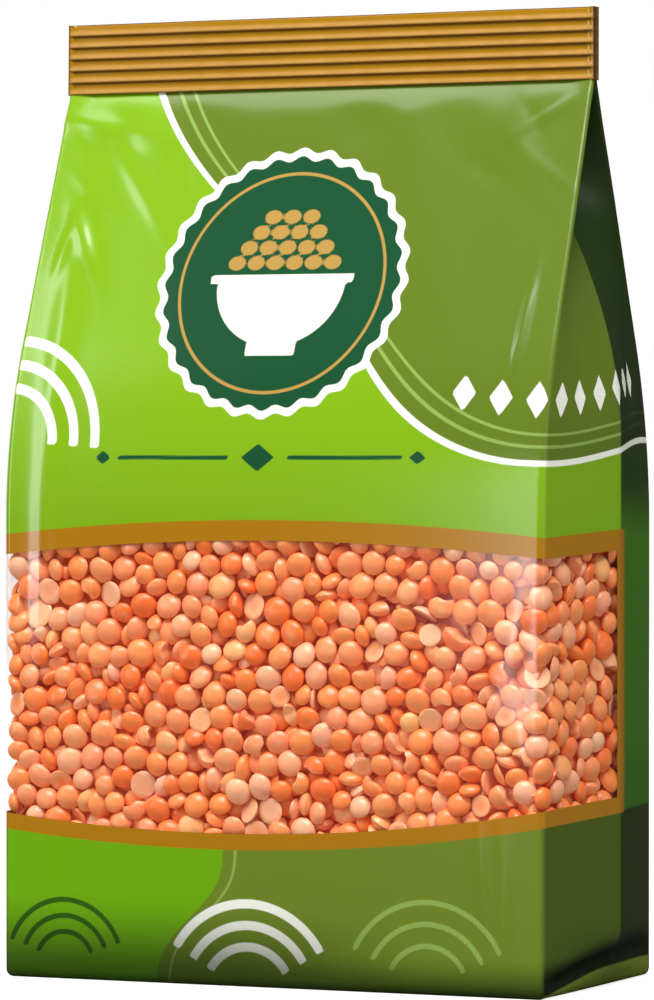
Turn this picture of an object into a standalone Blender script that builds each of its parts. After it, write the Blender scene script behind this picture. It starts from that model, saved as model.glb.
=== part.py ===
"""Bag of red lentils: a side-gusset film pack with a crimped top seal, and the lentils behind its window.

The bag stands on its flat base with its origin at the middle of the base. Its front faces -Y, its side
gussets face +X and -X, and Z runs up. All sizes are in metres.
"""

import math
import random

import bmesh
import bpy
from mathutils import Matrix, Vector

MM = 0.001

# The filled bag
BAG_WIDTH = 110 * MM            # between the two side edges of the front panel
BAG_DEPTH = 51.9 * MM           # between the front and back edges of a gusset
PANEL_CROWN = 2.0 * MM          # how far the middle of the front and back panels stands proud
EDGE_RADIUS = 2.5 * MM          # rounding of the four upright edges and of the bottom edge
EDGE_RADIUS_LEAST = 0.1 * MM
EDGE_RADIUS_SHARE = 0.45        # of the half depth, the largest rounding where the bag is thin
SHOULDER_NARROWING = 0.8 * MM   # lost from each half of the width between the window and the seal
SHOULDER_START = 90 * MM        # height where the bag starts to narrow

# The taper from the full depth up to the flat seal
SEAL_BOTTOM = 167.6 * MM
TAPER_END_DEPTH = 1.1 * MM      # half of the bag's depth where it runs into the seal
TAPER_SLOPE = 0.397             # half depth gained for each unit below the seal
TAPER_BLEND = 6.6 * MM          # how softly the taper turns into the upright panels

# The side gussets
GUSSET_BULGE = 4.3 * MM         # the centre crease stands this far outside the upright edges
GUSSET_FOOT = 12 * MM           # height over which the bulge grows out of the base
GUSSET_FOLD_START = 102 * MM    # above this the crease is drawn inwards
GUSSET_FOLD_DEPTH = 27.5 * MM   # how far the crease has moved in at the seal
GUSSET_FOLD_POWER = 1.9

# The crimped top seal
SEAL_WIDTH = 108.8 * MM
SEAL_HEIGHT = 13.5 * MM
SEAL_RIDGES = 6
SEAL_RIDGE_DEPTH = 2.4 * MM     # through the ridges
SEAL_GROOVE_DEPTH = 1.5 * MM    # through the grooves
SEAL_OVERLAP = 0.5 * MM         # the bag's body runs this far into the seal
SEAL_RIDGE_SHARE = 0.62         # of each ridge's height that is ridge, before the slope to the groove
SEAL_GROOVE_SHARE = 0.82        # where the groove is deepest
SEAL_WELD = 0.01 * MM           # joins the strip's end faces to its sides

# The window, as heights at the middle of the front
WINDOW_TOP = 82.6 * MM
WINDOW_BOTTOM = 28.5 * MM
WINDOW_TOP_DROP = 3.0 * MM      # the top edge is this much lower at the bag's upright edges
WINDOW_BOTTOM_RISE = 4.1 * MM   # the bottom edge is this much higher there
WINDOW_BOTTOM_TILT = 1.5 * MM   # and this much more at the right than in the middle
WINDOW_SIDE_SLOPE = 0.05        # how both edges climb on the gussets
WINDOW_END = 2.92               # where the window stops, just short of the gusset's centre crease
POCKET_DEPTH = 7.0 * MM         # depth of the lentils behind the film
CUTTER_REACH = 3 * MM           # the pocket's cutter stands this far out of the film

# The lentils
LENTIL_DIAMETER = 5.0 * MM
LENTIL_THICKNESS = 2.6 * MM
LENTIL_SIZES = (0.92, 1.03)     # smallest and largest, as shares of those sizes
LENTIL_SIDES = 6
LENTIL_LEVELS = 4
LENTIL_PITCH = 5.1 * MM         # between neighbours in a row
LENTIL_JITTER = 0.4 * MM
LENTIL_ROW_JITTER = 0.1         # of a row
LENTIL_EDGE_GAP = 0.5 * MM      # between the outermost lentils and the window's edges
LENTIL_ROW_RATIO = 0.87         # rows stand closer than the lentils in them
LENTIL_TILTED_SHARE = 0.25      # the rest lie nearly flat against the film
LENTIL_TILTS = (0.35, 0.95)     # of the tilted ones, in radians
LENTIL_FLAT_TILTS = (0.0, 0.2)
LENTIL_INSET_STEP = 0.1 * MM    # for finding the place nearest the film
LENTIL_SEED = 7
CORE_COVER = 1.1 * MM           # the core's face lies this far behind the film
CLEARANCE = 0.3 * MM            # between the lentils and the bag
FILM_GAP = 0.1 * MM             # between the lentils and the film's outer face

# Ring positions round the section. 0 is the middle of the front, 1 to 2 is the rounding of the right
# front edge, 3 is the right gusset's crease, 4 to 5 the right back edge and 6 the middle of the back.
PANEL_STEPS = 4
CORNER_STEPS = 3
GUSSET_STEPS = 3
BASE_RINGS = (0.0, 0.3, 1.0)    # heights of the rings of the bottom edge, in edge radii
BODY_RINGS = (0.055, 0.1, 0.2, 0.32, 0.44, 0.52, 0.58, 0.63, 0.67, 0.71, 0.75, 0.79, 0.83, 0.87, 0.91, 0.95)


def clear_scene():
    for obj in list(bpy.data.objects):
        bpy.data.objects.remove(obj, do_unlink=True)


def make_collection(name):
    collection = bpy.data.collections.new(name)
    bpy.context.scene.collection.children.link(collection)
    return collection


def make_material(name, colour, roughness, metallic=0.0):
    material = bpy.data.materials.new(name)
    material.use_nodes = True
    shader = material.node_tree.nodes["Principled BSDF"]
    shader.inputs["Base Color"].default_value = (*colour, 1.0)
    shader.inputs["Roughness"].default_value = roughness
    shader.inputs["Metallic"].default_value = metallic
    return material


def clamp(value, low=0.0, high=1.0):
    return max(low, min(high, value))


def smooth_minimum(a, b, blend):
    """The smaller of two lengths, with the meeting rounded over the blend length."""
    nearness = max(blend - abs(a - b), 0.0) / blend
    return min(a, b) - nearness * nearness * blend / 4


def half_width(z):
    return BAG_WIDTH / 2 - SHOULDER_NARROWING * clamp((z - SHOULDER_START) / (SEAL_BOTTOM - SHOULDER_START))


def half_depth(z):
    taper = TAPER_END_DEPTH + TAPER_SLOPE * (SEAL_BOTTOM - z)
    return smooth_minimum(BAG_DEPTH / 2, taper, TAPER_BLEND)


def crown(z):
    """How far the middle of the front panel stands proud of its edges at a height."""
    share = clamp(z / SEAL_BOTTOM)
    return PANEL_CROWN * 4 * share * (1 - share)


def crease_reach(z):
    """Distance of the gusset's centre crease from the bag's middle plane."""
    foot = math.sin(math.pi / 2 * clamp(z / GUSSET_FOOT))
    rise = clamp((z - GUSSET_FOLD_START) / (SEAL_BOTTOM - GUSSET_FOLD_START))
    return BAG_WIDTH / 2 + GUSSET_BULGE * foot - GUSSET_FOLD_DEPTH * rise ** GUSSET_FOLD_POWER


def section_point(z, run, inset=0.0):
    """A point of the bag's surface, or of one parallel to it, at a height and a ring position."""
    across = math.copysign(1.0, run)
    run = abs(run)
    back = run > 3
    if back:
        run = 6 - run
    width = half_width(z) - inset
    depth = half_depth(z) - inset
    radius = clamp(EDGE_RADIUS - inset, EDGE_RADIUS_LEAST, EDGE_RADIUS_SHARE * depth)
    centre = Vector((width - radius, -depth + radius))
    crease = Vector((crease_reach(z) - inset, 0.0))
    if run <= 1:
        flat = Vector((centre.x * run, -depth - crown(z) * (1 - run * run)))
    else:
        to_crease = crease - centre
        end_angle = math.atan2(to_crease.y, to_crease.x) - math.acos(radius / to_crease.length)
        turn = clamp(run - 1)
        angle = -math.pi / 2 + (end_angle + math.pi / 2) * turn
        flat = centre + radius * Vector((math.cos(angle), math.sin(angle)))
        if run > 2:
            flat = flat.lerp(crease, run - 2)
    return Vector((across * flat.x, -flat.y if back else flat.y, z))


def quarter_runs(end=3.0):
    """Ring positions from the middle of the front to the gusset's crease, or to a place short of it."""
    runs = [step / PANEL_STEPS for step in range(PANEL_STEPS)]
    runs += [1 + step / CORNER_STEPS for step in range(CORNER_STEPS)]
    runs += [2 + (end - 2) * step / GUSSET_STEPS for step in range(GUSSET_STEPS + 1)]
    return runs


def ring_runs():
    """All ring positions, once round the bag against the clock from the middle of the front."""
    front_right = quarter_runs()
    back_right = [6 - run for run in reversed(front_right[:-1])]
    left = [-run for run in reversed(front_right[1:-1] + [3.0] + back_right[:-1])]
    return front_right + back_right + left


def mesh_object(name, mesh, collection, material=None):
    obj = bpy.data.objects.new(name, mesh)
    collection.objects.link(obj)
    if material:
        mesh.materials.append(material)
    return obj


def loft(name, rings, collection, material=None):
    """Closed body through rings of equal length, with a flat face on its first and last ring."""
    shape = bmesh.new()
    rows = [[shape.verts.new(point) for point in ring] for ring in rings]
    count = len(rows[0])
    for low, high in zip(rows, rows[1:]):
        for index in range(count):
            after = (index + 1) % count
            shape.faces.new((low[index], low[after], high[after], high[index]))
    shape.faces.new(reversed(rows[0]))
    shape.faces.new(rows[-1])
    bmesh.ops.recalc_face_normals(shape, faces=shape.faces)
    mesh = bpy.data.meshes.new(name)
    shape.to_mesh(mesh)
    shape.free()
    return mesh_object(name, mesh, collection, material)


def apply_modifiers(obj):
    """Replace an object's mesh with what its modifiers make of it."""
    evaluated = obj.evaluated_get(bpy.context.evaluated_depsgraph_get())
    mesh = bpy.data.meshes.new_from_object(evaluated)
    obj.modifiers.clear()
    obj.data = mesh


def add_boolean(obj, other, operation):
    modifier = obj.modifiers.new(operation.title(), "BOOLEAN")
    modifier.operation = operation
    modifier.object = other
    modifier.solver = "EXACT"


def build_body(collection, material):
    """The filled bag up to its seal: a loft of sections that are level in height."""
    rings = []
    for share in BASE_RINGS:
        z = share * EDGE_RADIUS
        inset = EDGE_RADIUS - math.sqrt(EDGE_RADIUS ** 2 - (EDGE_RADIUS - z) ** 2)
        rings.append([section_point(z, run, inset) for run in ring_runs()])
    for share in BODY_RINGS:
        rings.append([section_point(share * SEAL_BOTTOM, run) for run in ring_runs()])
    top = [section_point(SEAL_BOTTOM, run) for run in ring_runs()]
    rings.append(top)
    rings.append([point + Vector((0, 0, SEAL_OVERLAP)) for point in top])
    return loft("bag", rings, collection, material)


def seal_profile():
    """Outline of the seal's end, up one face and down the other: x through the seal, y up."""
    pitch = SEAL_HEIGHT / SEAL_RIDGES
    front = []
    for ridge in range(SEAL_RIDGES):
        foot = ridge * pitch
        front.append((SEAL_RIDGE_DEPTH / 2, foot))
        front.append((SEAL_RIDGE_DEPTH / 2, foot + SEAL_RIDGE_SHARE * pitch))
        if ridge < SEAL_RIDGES - 1:
            front.append((SEAL_GROOVE_DEPTH / 2, foot + SEAL_GROOVE_SHARE * pitch))
    front.append((SEAL_RIDGE_DEPTH / 2, SEAL_HEIGHT))
    return front + [(-x, y) for x, y in reversed(front)]


def build_seal(cutters):
    """The crimped strip: its end outline as a flat curve, given the seal's width, then made a mesh."""
    curve = bpy.data.curves.new("seal_outline", "CURVE")
    curve.dimensions = "2D"
    curve.fill_mode = "BOTH"
    curve.extrude = SEAL_WIDTH / 2
    outline = seal_profile()
    spline = curve.splines.new("POLY")
    spline.points.add(len(outline) - 1)
    for point, (x, y) in zip(spline.points, outline):
        point.co = (x, y, 0, 1)
    spline.use_cyclic_u = True
    strip = bpy.data.objects.new("seal_outline", curve)
    cutters.objects.link(strip)
    strip.matrix_world = Matrix.Translation((0, 0, SEAL_BOTTOM)) @ Matrix(((0, 0, 1, 0), (1, 0, 0, 0),
                                                                         (0, 1, 0, 0), (0, 0, 0, 1)))
    bpy.context.view_layer.update()
    mesh = bpy.data.meshes.new_from_object(strip.evaluated_get(bpy.context.evaluated_depsgraph_get()))
    shape = bmesh.new()
    shape.from_mesh(mesh)
    bmesh.ops.remove_doubles(shape, verts=shape.verts, dist=SEAL_WELD)
    bmesh.ops.recalc_face_normals(shape, faces=shape.faces)
    shape.to_mesh(mesh)
    shape.free()
    seal = mesh_object("seal", mesh, cutters)
    seal.matrix_world = strip.matrix_world.copy()
    bpy.data.objects.remove(strip, do_unlink=True)
    return seal


def run_length(run):
    """Distance round the bag from the middle of the front to a ring position, signed."""
    size = abs(run)
    length = (BAG_WIDTH / 2 - EDGE_RADIUS) * clamp(size)
    length += math.pi / 2 * EDGE_RADIUS * clamp(size - 1)
    length += (BAG_DEPTH / 2 - EDGE_RADIUS) * clamp(size - 2)
    return math.copysign(length, run)


def run_at_length(length):
    """The ring position at a signed distance round the bag from the middle of the front."""
    rest = abs(length)
    run = 0.0
    for stretch in (BAG_WIDTH / 2 - EDGE_RADIUS, math.pi / 2 * EDGE_RADIUS, BAG_DEPTH / 2 - EDGE_RADIUS):
        run += clamp(rest / stretch)
        rest = max(rest - stretch, 0.0)
    return math.copysign(run, length)


def window_limits(length):
    """Heights of the window's bottom and top edges at a distance round the bag."""
    share = clamp(length / (BAG_WIDTH / 2), -1.0, 1.0)
    climb = WINDOW_SIDE_SLOPE * max(abs(length) - BAG_WIDTH / 2, 0.0)
    bottom = WINDOW_BOTTOM + WINDOW_BOTTOM_TILT * share + WINDOW_BOTTOM_RISE * share * share + climb
    top = WINDOW_TOP - WINDOW_TOP_DROP * share * share + climb
    return bottom, top


def window_band(name, outer_inset, inner_inset, margin, collection, material=None):
    """Closed slab behind the window, between two surfaces parallel to the film and inside its edges."""
    short = margin / (BAG_DEPTH / 2 - EDGE_RADIUS)
    runs = quarter_runs(WINDOW_END - short)
    runs = [-run for run in reversed(runs[1:])] + runs
    rings = []
    for run in runs:
        bottom, top = window_limits(run_length(run))
        low, middle, high = bottom + margin, (bottom + top) / 2, top - margin
        places = [(low, outer_inset), (middle, outer_inset), (high, outer_inset), (high, EDGE_RADIUS),
                  (high, inner_inset), (middle, inner_inset), (low, inner_inset), (low, EDGE_RADIUS)]
        rings.append([section_point(z, run, inset) for z, inset in places])
    return loft(name, rings, collection, material)


def inside_film(point, gap):
    """True where a point is at least a gap inside the bag's front, its rounded edges and its gussets."""
    z = point.z
    width = half_width(z) - gap
    depth = half_depth(z) - gap
    radius = EDGE_RADIUS
    centre = Vector((width - radius, -depth + radius))
    x = abs(point.x)
    if x > centre.x and point.y < centre.y:
        return (Vector((x, point.y)) - centre).length < radius
    if x > centre.x:
        share = clamp((point.y - centre.y) / -centre.y)
        return x < width + (crease_reach(z) - gap - width) * share
    share = x / centre.x
    return point.y > -depth - crown(z) * (1 - share * share)


def film_axes(z, run):
    """Directions along the film and out of it at a place on the window."""
    step = 0.02
    along = section_point(z, run + step) - section_point(z, run - step)
    along.normalize()
    outward = along.cross(Vector((0, 0, 1)))
    return along, outward


def build_lentil_mesh():
    """A lentil with few sides: a small sphere pressed to its thickness."""
    shape = bmesh.new()
    pressed = Matrix.Diagonal((1, 1, LENTIL_THICKNESS / LENTIL_DIAMETER, 1))
    bmesh.ops.create_uvsphere(shape, u_segments=LENTIL_SIDES, v_segments=LENTIL_LEVELS,
                              radius=LENTIL_DIAMETER / 2, matrix=pressed)
    mesh = bpy.data.meshes.new("lentil")
    shape.to_mesh(mesh)
    shape.free()
    return mesh


def lentil_matrix(length, z, mesh, rng):
    """Place one lentil on the window, as near the film as it fits, or None where it would touch the bag."""
    run = run_at_length(length)
    along, outward = film_axes(z, run)
    tilts = LENTIL_TILTS if rng.random() < LENTIL_TILTED_SHARE else LENTIL_FLAT_TILTS
    tilt = rng.uniform(*tilts)
    turn = rng.uniform(0, 2 * math.pi)
    size = rng.uniform(*LENTIL_SIZES)
    axes = Matrix((along, Vector((0, 0, 1)), outward)).transposed().to_4x4()
    turned = axes @ Matrix.Rotation(turn, 4, "Z") @ Matrix.Rotation(tilt, 4, "X") @ Matrix.Scale(size, 4)
    inset = LENTIL_THICKNESS / 2
    while inset < POCKET_DEPTH - size * LENTIL_DIAMETER / 2 - CLEARANCE:
        placed = Matrix.Translation(section_point(z, run, inset)) @ turned
        if all(inside_film(placed @ vertex.co, FILM_GAP) for vertex in mesh.vertices):
            return placed
        inset += LENTIL_INSET_STEP
    return None


def build_lentils(collection, material):
    """The lentils behind the window: a core close under the film, with those that show fused on."""
    core = window_band("lentils", CORE_COVER, POCKET_DEPTH - CLEARANCE, CLEARANCE, collection, material)
    loose = make_collection("loose_lentils")
    mesh = build_lentil_mesh()
    rng = random.Random(LENTIL_SEED)
    edge = LENTIL_DIAMETER / 2 * LENTIL_SIZES[1] + LENTIL_EDGE_GAP
    reach = run_length(WINDOW_END) - edge
    row_pitch = LENTIL_PITCH * LENTIL_ROW_RATIO
    columns = int(reach / LENTIL_PITCH) + 1
    bottom, top = window_limits(0.0)
    rows = int((top - bottom - 2 * edge) / row_pitch) + 1
    for row in range(rows):
        for column in range(-columns, columns + 1):
            length = (column + 0.5 * (row % 2)) * LENTIL_PITCH + rng.uniform(-LENTIL_JITTER, LENTIL_JITTER)
            low, high = window_limits(length)
            share = (row + rng.uniform(-LENTIL_ROW_JITTER, LENTIL_ROW_JITTER)) / (rows - 1)
            z = low + edge + (high - low - 2 * edge) * clamp(share)
            if abs(length) > reach:
                continue
            place = lentil_matrix(length, z, mesh, rng)
            if place is None:
                continue
            lentil = bpy.data.objects.new(f"lentil_{len(loose.objects)}", mesh)
            loose.objects.link(lentil)
            lentil.matrix_world = place
    modifier = core.modifiers.new("Fuse lentils", "BOOLEAN")
    modifier.operation = "UNION"
    modifier.operand_type = "COLLECTION"
    modifier.collection = loose
    modifier.solver = "MANIFOLD"
    bpy.context.view_layer.update()
    apply_modifiers(core)
    print("lentils fused:", len(loose.objects))
    for lentil in list(loose.objects):
        bpy.data.objects.remove(lentil, do_unlink=True)
    bpy.data.collections.remove(loose)
    return core


def build_bag(collection, cutters, material):
    """The bag: its body and seal in one, with a pocket behind the window for the lentils."""
    bag = build_body(collection, material)
    bag.modifiers.new("Even creases", "TRIANGULATE").quad_method = "SHORTEST_DIAGONAL"
    add_boolean(bag, build_seal(cutters), "UNION")
    add_boolean(bag, window_band("window_cutter", -CUTTER_REACH, POCKET_DEPTH, 0.0, cutters), "DIFFERENCE")
    for cutter in cutters.objects:
        cutter.hide_render = True
        cutter.display_type = "WIRE"
    return bag


def build():
    clear_scene()
    parts = make_collection("lentil_bag")
    cutters = make_collection("cutters")
    film = make_material("printed_film", (0.26, 0.56, 0.04), 0.3)
    lentil = make_material("red_lentil", (0.80, 0.26, 0.09), 0.45)
    build_bag(parts, cutters, film)
    build_lentils(parts, lentil)


build()
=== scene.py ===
# %% [markdown]
# A bag of red lentils
# This lesson dresses a plain model of a grocery pack: a printed film bag with side gussets, a crimped
# gold seal and a clear band low on its front where the lentils show. The plain model gives the sizes.
# Everything you see is made here: the film as one smooth sheet, the print as fields of colour on it,
# the clear film of the window, and the lentils behind it, each a real mesh at its true size.

# %% Load the plain model
import math
import bpy
import numpy as np
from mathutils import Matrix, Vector
from mathutils.kdtree import KDTree


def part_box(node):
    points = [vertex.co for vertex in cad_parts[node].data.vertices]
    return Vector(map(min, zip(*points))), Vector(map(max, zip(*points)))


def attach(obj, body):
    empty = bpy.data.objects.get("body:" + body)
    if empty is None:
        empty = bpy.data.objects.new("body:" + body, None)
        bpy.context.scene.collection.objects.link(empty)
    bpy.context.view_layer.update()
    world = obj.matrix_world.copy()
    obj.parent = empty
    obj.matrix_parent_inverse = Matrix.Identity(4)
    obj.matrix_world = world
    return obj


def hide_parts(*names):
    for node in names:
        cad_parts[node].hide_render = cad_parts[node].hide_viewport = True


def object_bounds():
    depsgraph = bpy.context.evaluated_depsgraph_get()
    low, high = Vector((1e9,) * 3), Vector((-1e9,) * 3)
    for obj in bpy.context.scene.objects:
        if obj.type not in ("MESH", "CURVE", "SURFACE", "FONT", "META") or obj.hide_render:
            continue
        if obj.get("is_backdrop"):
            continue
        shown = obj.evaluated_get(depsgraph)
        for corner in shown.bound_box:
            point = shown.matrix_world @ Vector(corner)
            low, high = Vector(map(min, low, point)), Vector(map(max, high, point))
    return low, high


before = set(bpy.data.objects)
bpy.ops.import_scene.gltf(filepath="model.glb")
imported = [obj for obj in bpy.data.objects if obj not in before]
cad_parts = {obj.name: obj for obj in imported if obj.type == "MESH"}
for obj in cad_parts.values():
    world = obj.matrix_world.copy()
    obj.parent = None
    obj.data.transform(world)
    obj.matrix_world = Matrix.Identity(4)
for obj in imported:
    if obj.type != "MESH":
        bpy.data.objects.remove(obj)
cad_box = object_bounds()
MM = 0.001
bag_low, bag_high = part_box("bag")
window_low, window_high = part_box("lentils")
print("bag", [round(side / MM, 1) for side in bag_high - bag_low], "mm")

# %% [markdown]
# The sizes of the pack
# A side-gusset bag is a tube of film, squared where it is full and pressed flat at its top. A few
# sizes say how: the width and depth of the square part, how far each gusset's centre crease stands
# out, how steeply the bag tapers to the seal, and how far the crease is folded in when it gets there.
# The width, depth and height are read from the plain model, so the film fits round it. The upright
# edges are a little sharper than the model's, and sharpest in the taper, where no lentils round them.

# %% Sizes read from the plain model
GUSSET_BULGE = 4.3 * MM
PANEL_CROWN = 1.1 * MM
EDGE_RADIUS = 1.4 * MM
EDGE_RADIUS_LEAST = 0.1 * MM
EDGE_RADIUS_SHARE = 0.45
EDGE_SHARPENS = 92 * MM
EDGE_SHARPENS_OVER = 40 * MM
EDGE_SHARPENS_BY = 0.55
SEAL_HEIGHT = 13.5 * MM
SEAL_RIDGES = 6
SEAL_NARROWING = 0.6 * MM
SHOULDER_NARROWING = 0.8 * MM
HALF_WIDTH = bag_high.x - GUSSET_BULGE
HALF_DEPTH = bag_high.y - PANEL_CROWN
SEAL_BOTTOM = bag_high.z - SEAL_HEIGHT
SEAL_HALF_WIDTH = HALF_WIDTH - SEAL_NARROWING
SHOULDER_START = 90 * MM
TAPER_END_DEPTH = 1.1 * MM
TAPER_SLOPE = 0.397
TAPER_BLEND = 6.6 * MM
GUSSET_FOOT = 12 * MM
GUSSET_FOLD_START = 102 * MM
GUSSET_FOLD_DEPTH = 27.5 * MM
GUSSET_FOLD_POWER = 1.9
print("front panel", round(2 * HALF_WIDTH / MM, 1), "x", round(bag_high.z / MM, 1), "mm")


# %% [markdown]
# A place on the film
# Every piece of this bag lies on the same surface or just inside it, so one function gives that
# surface. It takes a height and a position round the bag, counted in edges: 0 is the middle of the
# front, 1 to 2 the rounded right edge, 3 the crease of the right gusset, 6 the middle of the back, and
# the same again with a minus sign round the left. An inset gives a surface parallel to the film.
# Working on whole arrays with numpy keeps a sheet of a hundred thousand points quick.

# %% The film's surface as a function
def smooth_minimum(a, b, blend):
    nearness = np.maximum(blend - np.abs(a - b), 0) / blend
    return np.minimum(a, b) - nearness * nearness * blend / 4


def half_width(z):
    share = np.clip((z - SHOULDER_START) / (SEAL_BOTTOM - SHOULDER_START), 0, 1)
    return HALF_WIDTH - SHOULDER_NARROWING * share


def half_depth(z):
    taper = TAPER_END_DEPTH + TAPER_SLOPE * (SEAL_BOTTOM - z)
    return smooth_minimum(HALF_DEPTH, taper, TAPER_BLEND)


def crown(z):
    share = np.clip(z / SEAL_BOTTOM, 0, 1)
    return PANEL_CROWN * 4 * share * (1 - share)


def crease_reach(z):
    foot = np.sin(math.pi / 2 * np.clip(z / GUSSET_FOOT, 0, 1))
    rise = np.clip((z - GUSSET_FOLD_START) / (SEAL_BOTTOM - GUSSET_FOLD_START), 0, 1)
    return HALF_WIDTH + GUSSET_BULGE * foot - GUSSET_FOLD_DEPTH * rise ** GUSSET_FOLD_POWER


def film_point(z, run, inset=0.0):
    """Points on the film for arrays of heights and positions round the bag, as an array of x, y, z."""
    z, run, inset = np.broadcast_arrays(z, run, np.asarray(inset, float))
    across = np.where(run < 0, -1.0, 1.0)
    size = np.abs(run)
    back = np.where(size > 3, -1.0, 1.0)
    size = np.where(size > 3, 6 - size, size)
    width = half_width(z) - inset
    depth = half_depth(z) - inset
    sharper = np.clip((z - EDGE_SHARPENS) / EDGE_SHARPENS_OVER, 0, 1)
    radius = np.clip(EDGE_RADIUS * (1 - EDGE_SHARPENS_BY * sharper) - inset,
                     EDGE_RADIUS_LEAST, EDGE_RADIUS_SHARE * depth)
    centre_x, centre_y = width - radius, -depth + radius
    crease_x = crease_reach(z) - inset
    reach = np.hypot(crease_x - centre_x, centre_y)
    end_angle = np.arctan2(-centre_y, crease_x - centre_x) - np.arccos(np.clip(radius / reach, -1, 1))
    angle = -math.pi / 2 + (end_angle + math.pi / 2) * np.clip(size - 1, 0, 1)
    edge_x = centre_x + radius * np.cos(angle)
    edge_y = centre_y + radius * np.sin(angle)
    along = np.clip(size - 2, 0, 1)
    flat = size <= 1
    x = np.where(flat, centre_x * size, edge_x + (crease_x - edge_x) * along)
    y = np.where(flat, -depth - crown(z) * (1 - size * size), edge_y * (1 - along))
    return np.stack([across * x, back * y, z], axis=-1)


STRETCHES = (HALF_WIDTH - EDGE_RADIUS, math.pi / 2 * EDGE_RADIUS, HALF_DEPTH - EDGE_RADIUS)


def run_length(run):
    """Distance round the bag from the middle of the front, signed, for positions up to the crease."""
    size = np.abs(run)
    length = sum(stretch * np.clip(size - start, 0, 1) for start, stretch in enumerate(STRETCHES))
    return np.sign(run) * length


def run_at_length(length):
    rest = np.abs(length)
    run = np.zeros_like(rest)
    for stretch in STRETCHES:
        run = run + np.clip(rest / stretch, 0, 1)
        rest = np.maximum(rest - stretch, 0)
    return np.sign(length) * run


GUSSET_LENGTH = float(run_length(3.0))
print("half way round the front:", round(GUSSET_LENGTH / MM, 1), "mm")

# %% [markdown]
# The window's outline
# The clear band isn't a rectangle: its top edge is arched, its bottom edge sags and runs a little
# uphill to the right, and both climb on the gussets. The plain model has the same outline as the
# pocket that its lentils lie in. A gold stripe frames it, a little wider above than below.

# %% Window and stripe
WINDOW_TOP = 82.6 * MM
WINDOW_BOTTOM = 28.5 * MM
WINDOW_TOP_DROP = 3.0 * MM
WINDOW_BOTTOM_RISE = 4.1 * MM
WINDOW_BOTTOM_TILT = 1.5 * MM
WINDOW_SIDE_SLOPE = 0.05
WINDOW_END = 2.95
STRIPE_TOP = 3.8 * MM
STRIPE_BOTTOM = 3.0 * MM


def window_limits(length):
    """Heights of the window's bottom and top edges at distances round the bag."""
    share = np.clip(length / HALF_WIDTH, -1, 1)
    climb = WINDOW_SIDE_SLOPE * np.maximum(np.abs(length) - HALF_WIDTH, 0)
    bottom = WINDOW_BOTTOM + WINDOW_BOTTOM_TILT * share + WINDOW_BOTTOM_RISE * share ** 2 + climb
    top = WINDOW_TOP - WINDOW_TOP_DROP * share ** 2 + climb
    return bottom, top


print("window", WINDOW_BOTTOM / MM, "to", WINDOW_TOP / MM, "mm up at its middle; the plain model's lentils",
      round(window_low.z / MM, 1), "to", round(window_high.z / MM, 1))

# %% [markdown]
# Camera, floor and light
# The camera stands a metre away, a little over 24 degrees round to the right, and almost level with
# the middle of the bag. Its long lens keeps the upright edges upright. The floor is one pale sheet.
# A large soft light in front and above makes the tapered upper half brighter than the upright lower
# half, as on the real pack. Small and narrow lights at the left, the front and the right draw the
# bright bands and lines on the glossy film, and a large one behind lights the floor and the back.

# %% Camera
CAMERA_TURN = math.radians(24.42)
CAMERA_RISE = math.radians(0.498)
CAMERA_DISTANCE = 1.0115
CAMERA_HEIGHT = 89.87 * MM
LENS_MM = 192.85
SENSOR_MM = 36
IMAGE_SHIFT = -0.001
NEAREST_SEEN = 0.05

camera_data = bpy.data.cameras.new("camera")
camera_data.lens = LENS_MM
camera_data.sensor_width = SENSOR_MM
camera_data.shift_x = IMAGE_SHIFT
camera_data.clip_start = NEAREST_SEEN
camera = bpy.data.objects.new("camera", camera_data)
bpy.context.scene.collection.objects.link(camera)
towards = Vector((math.sin(CAMERA_TURN) * math.cos(CAMERA_RISE),
                  -math.cos(CAMERA_TURN) * math.cos(CAMERA_RISE), math.sin(CAMERA_RISE)))
camera.location = Vector((0, 0, CAMERA_HEIGHT)) + CAMERA_DISTANCE * towards
camera.rotation_euler = (-towards).to_track_quat("-Z", "Y").to_euler()
bpy.context.scene.camera = camera
bpy.context.scene.view_settings.view_transform = "Standard"
print("camera at", [round(value, 3) for value in camera.location])

# %% [markdown]
# A pale room that doesn't fog the film
# A white room mirrored in glossy film would lie over the print as a grey haze. A studio hides it with
# dark screens out of the picture. Here the Light Path node does that: the floor and the room are
# bright for the rays that come from the camera and dim for the rays that a reflection sends out.


# %% Floor
FLOOR_SIZE = 60
FLOOR_GREY = 0.3
FLOOR_LESS_IN_GLOSS = 0.28
FLOOR_GLOW = 0.84
FLOOR_ROUGHNESS = 0.9


def light_path(nodes, name):
    """1 for rays of this kind and 0 for all others."""
    return nodes.new("ShaderNodeLightPath").outputs[name]


def scaled(nodes, socket, factor, plus):
    """The socket's value times a factor, plus a number."""
    step = nodes.new("ShaderNodeMath")
    step.operation = "MULTIPLY_ADD"
    step.inputs[1].default_value = factor
    step.inputs[2].default_value = plus
    nodes.id_data.links.new(socket, step.inputs[0])
    return step.outputs[0]


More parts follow.
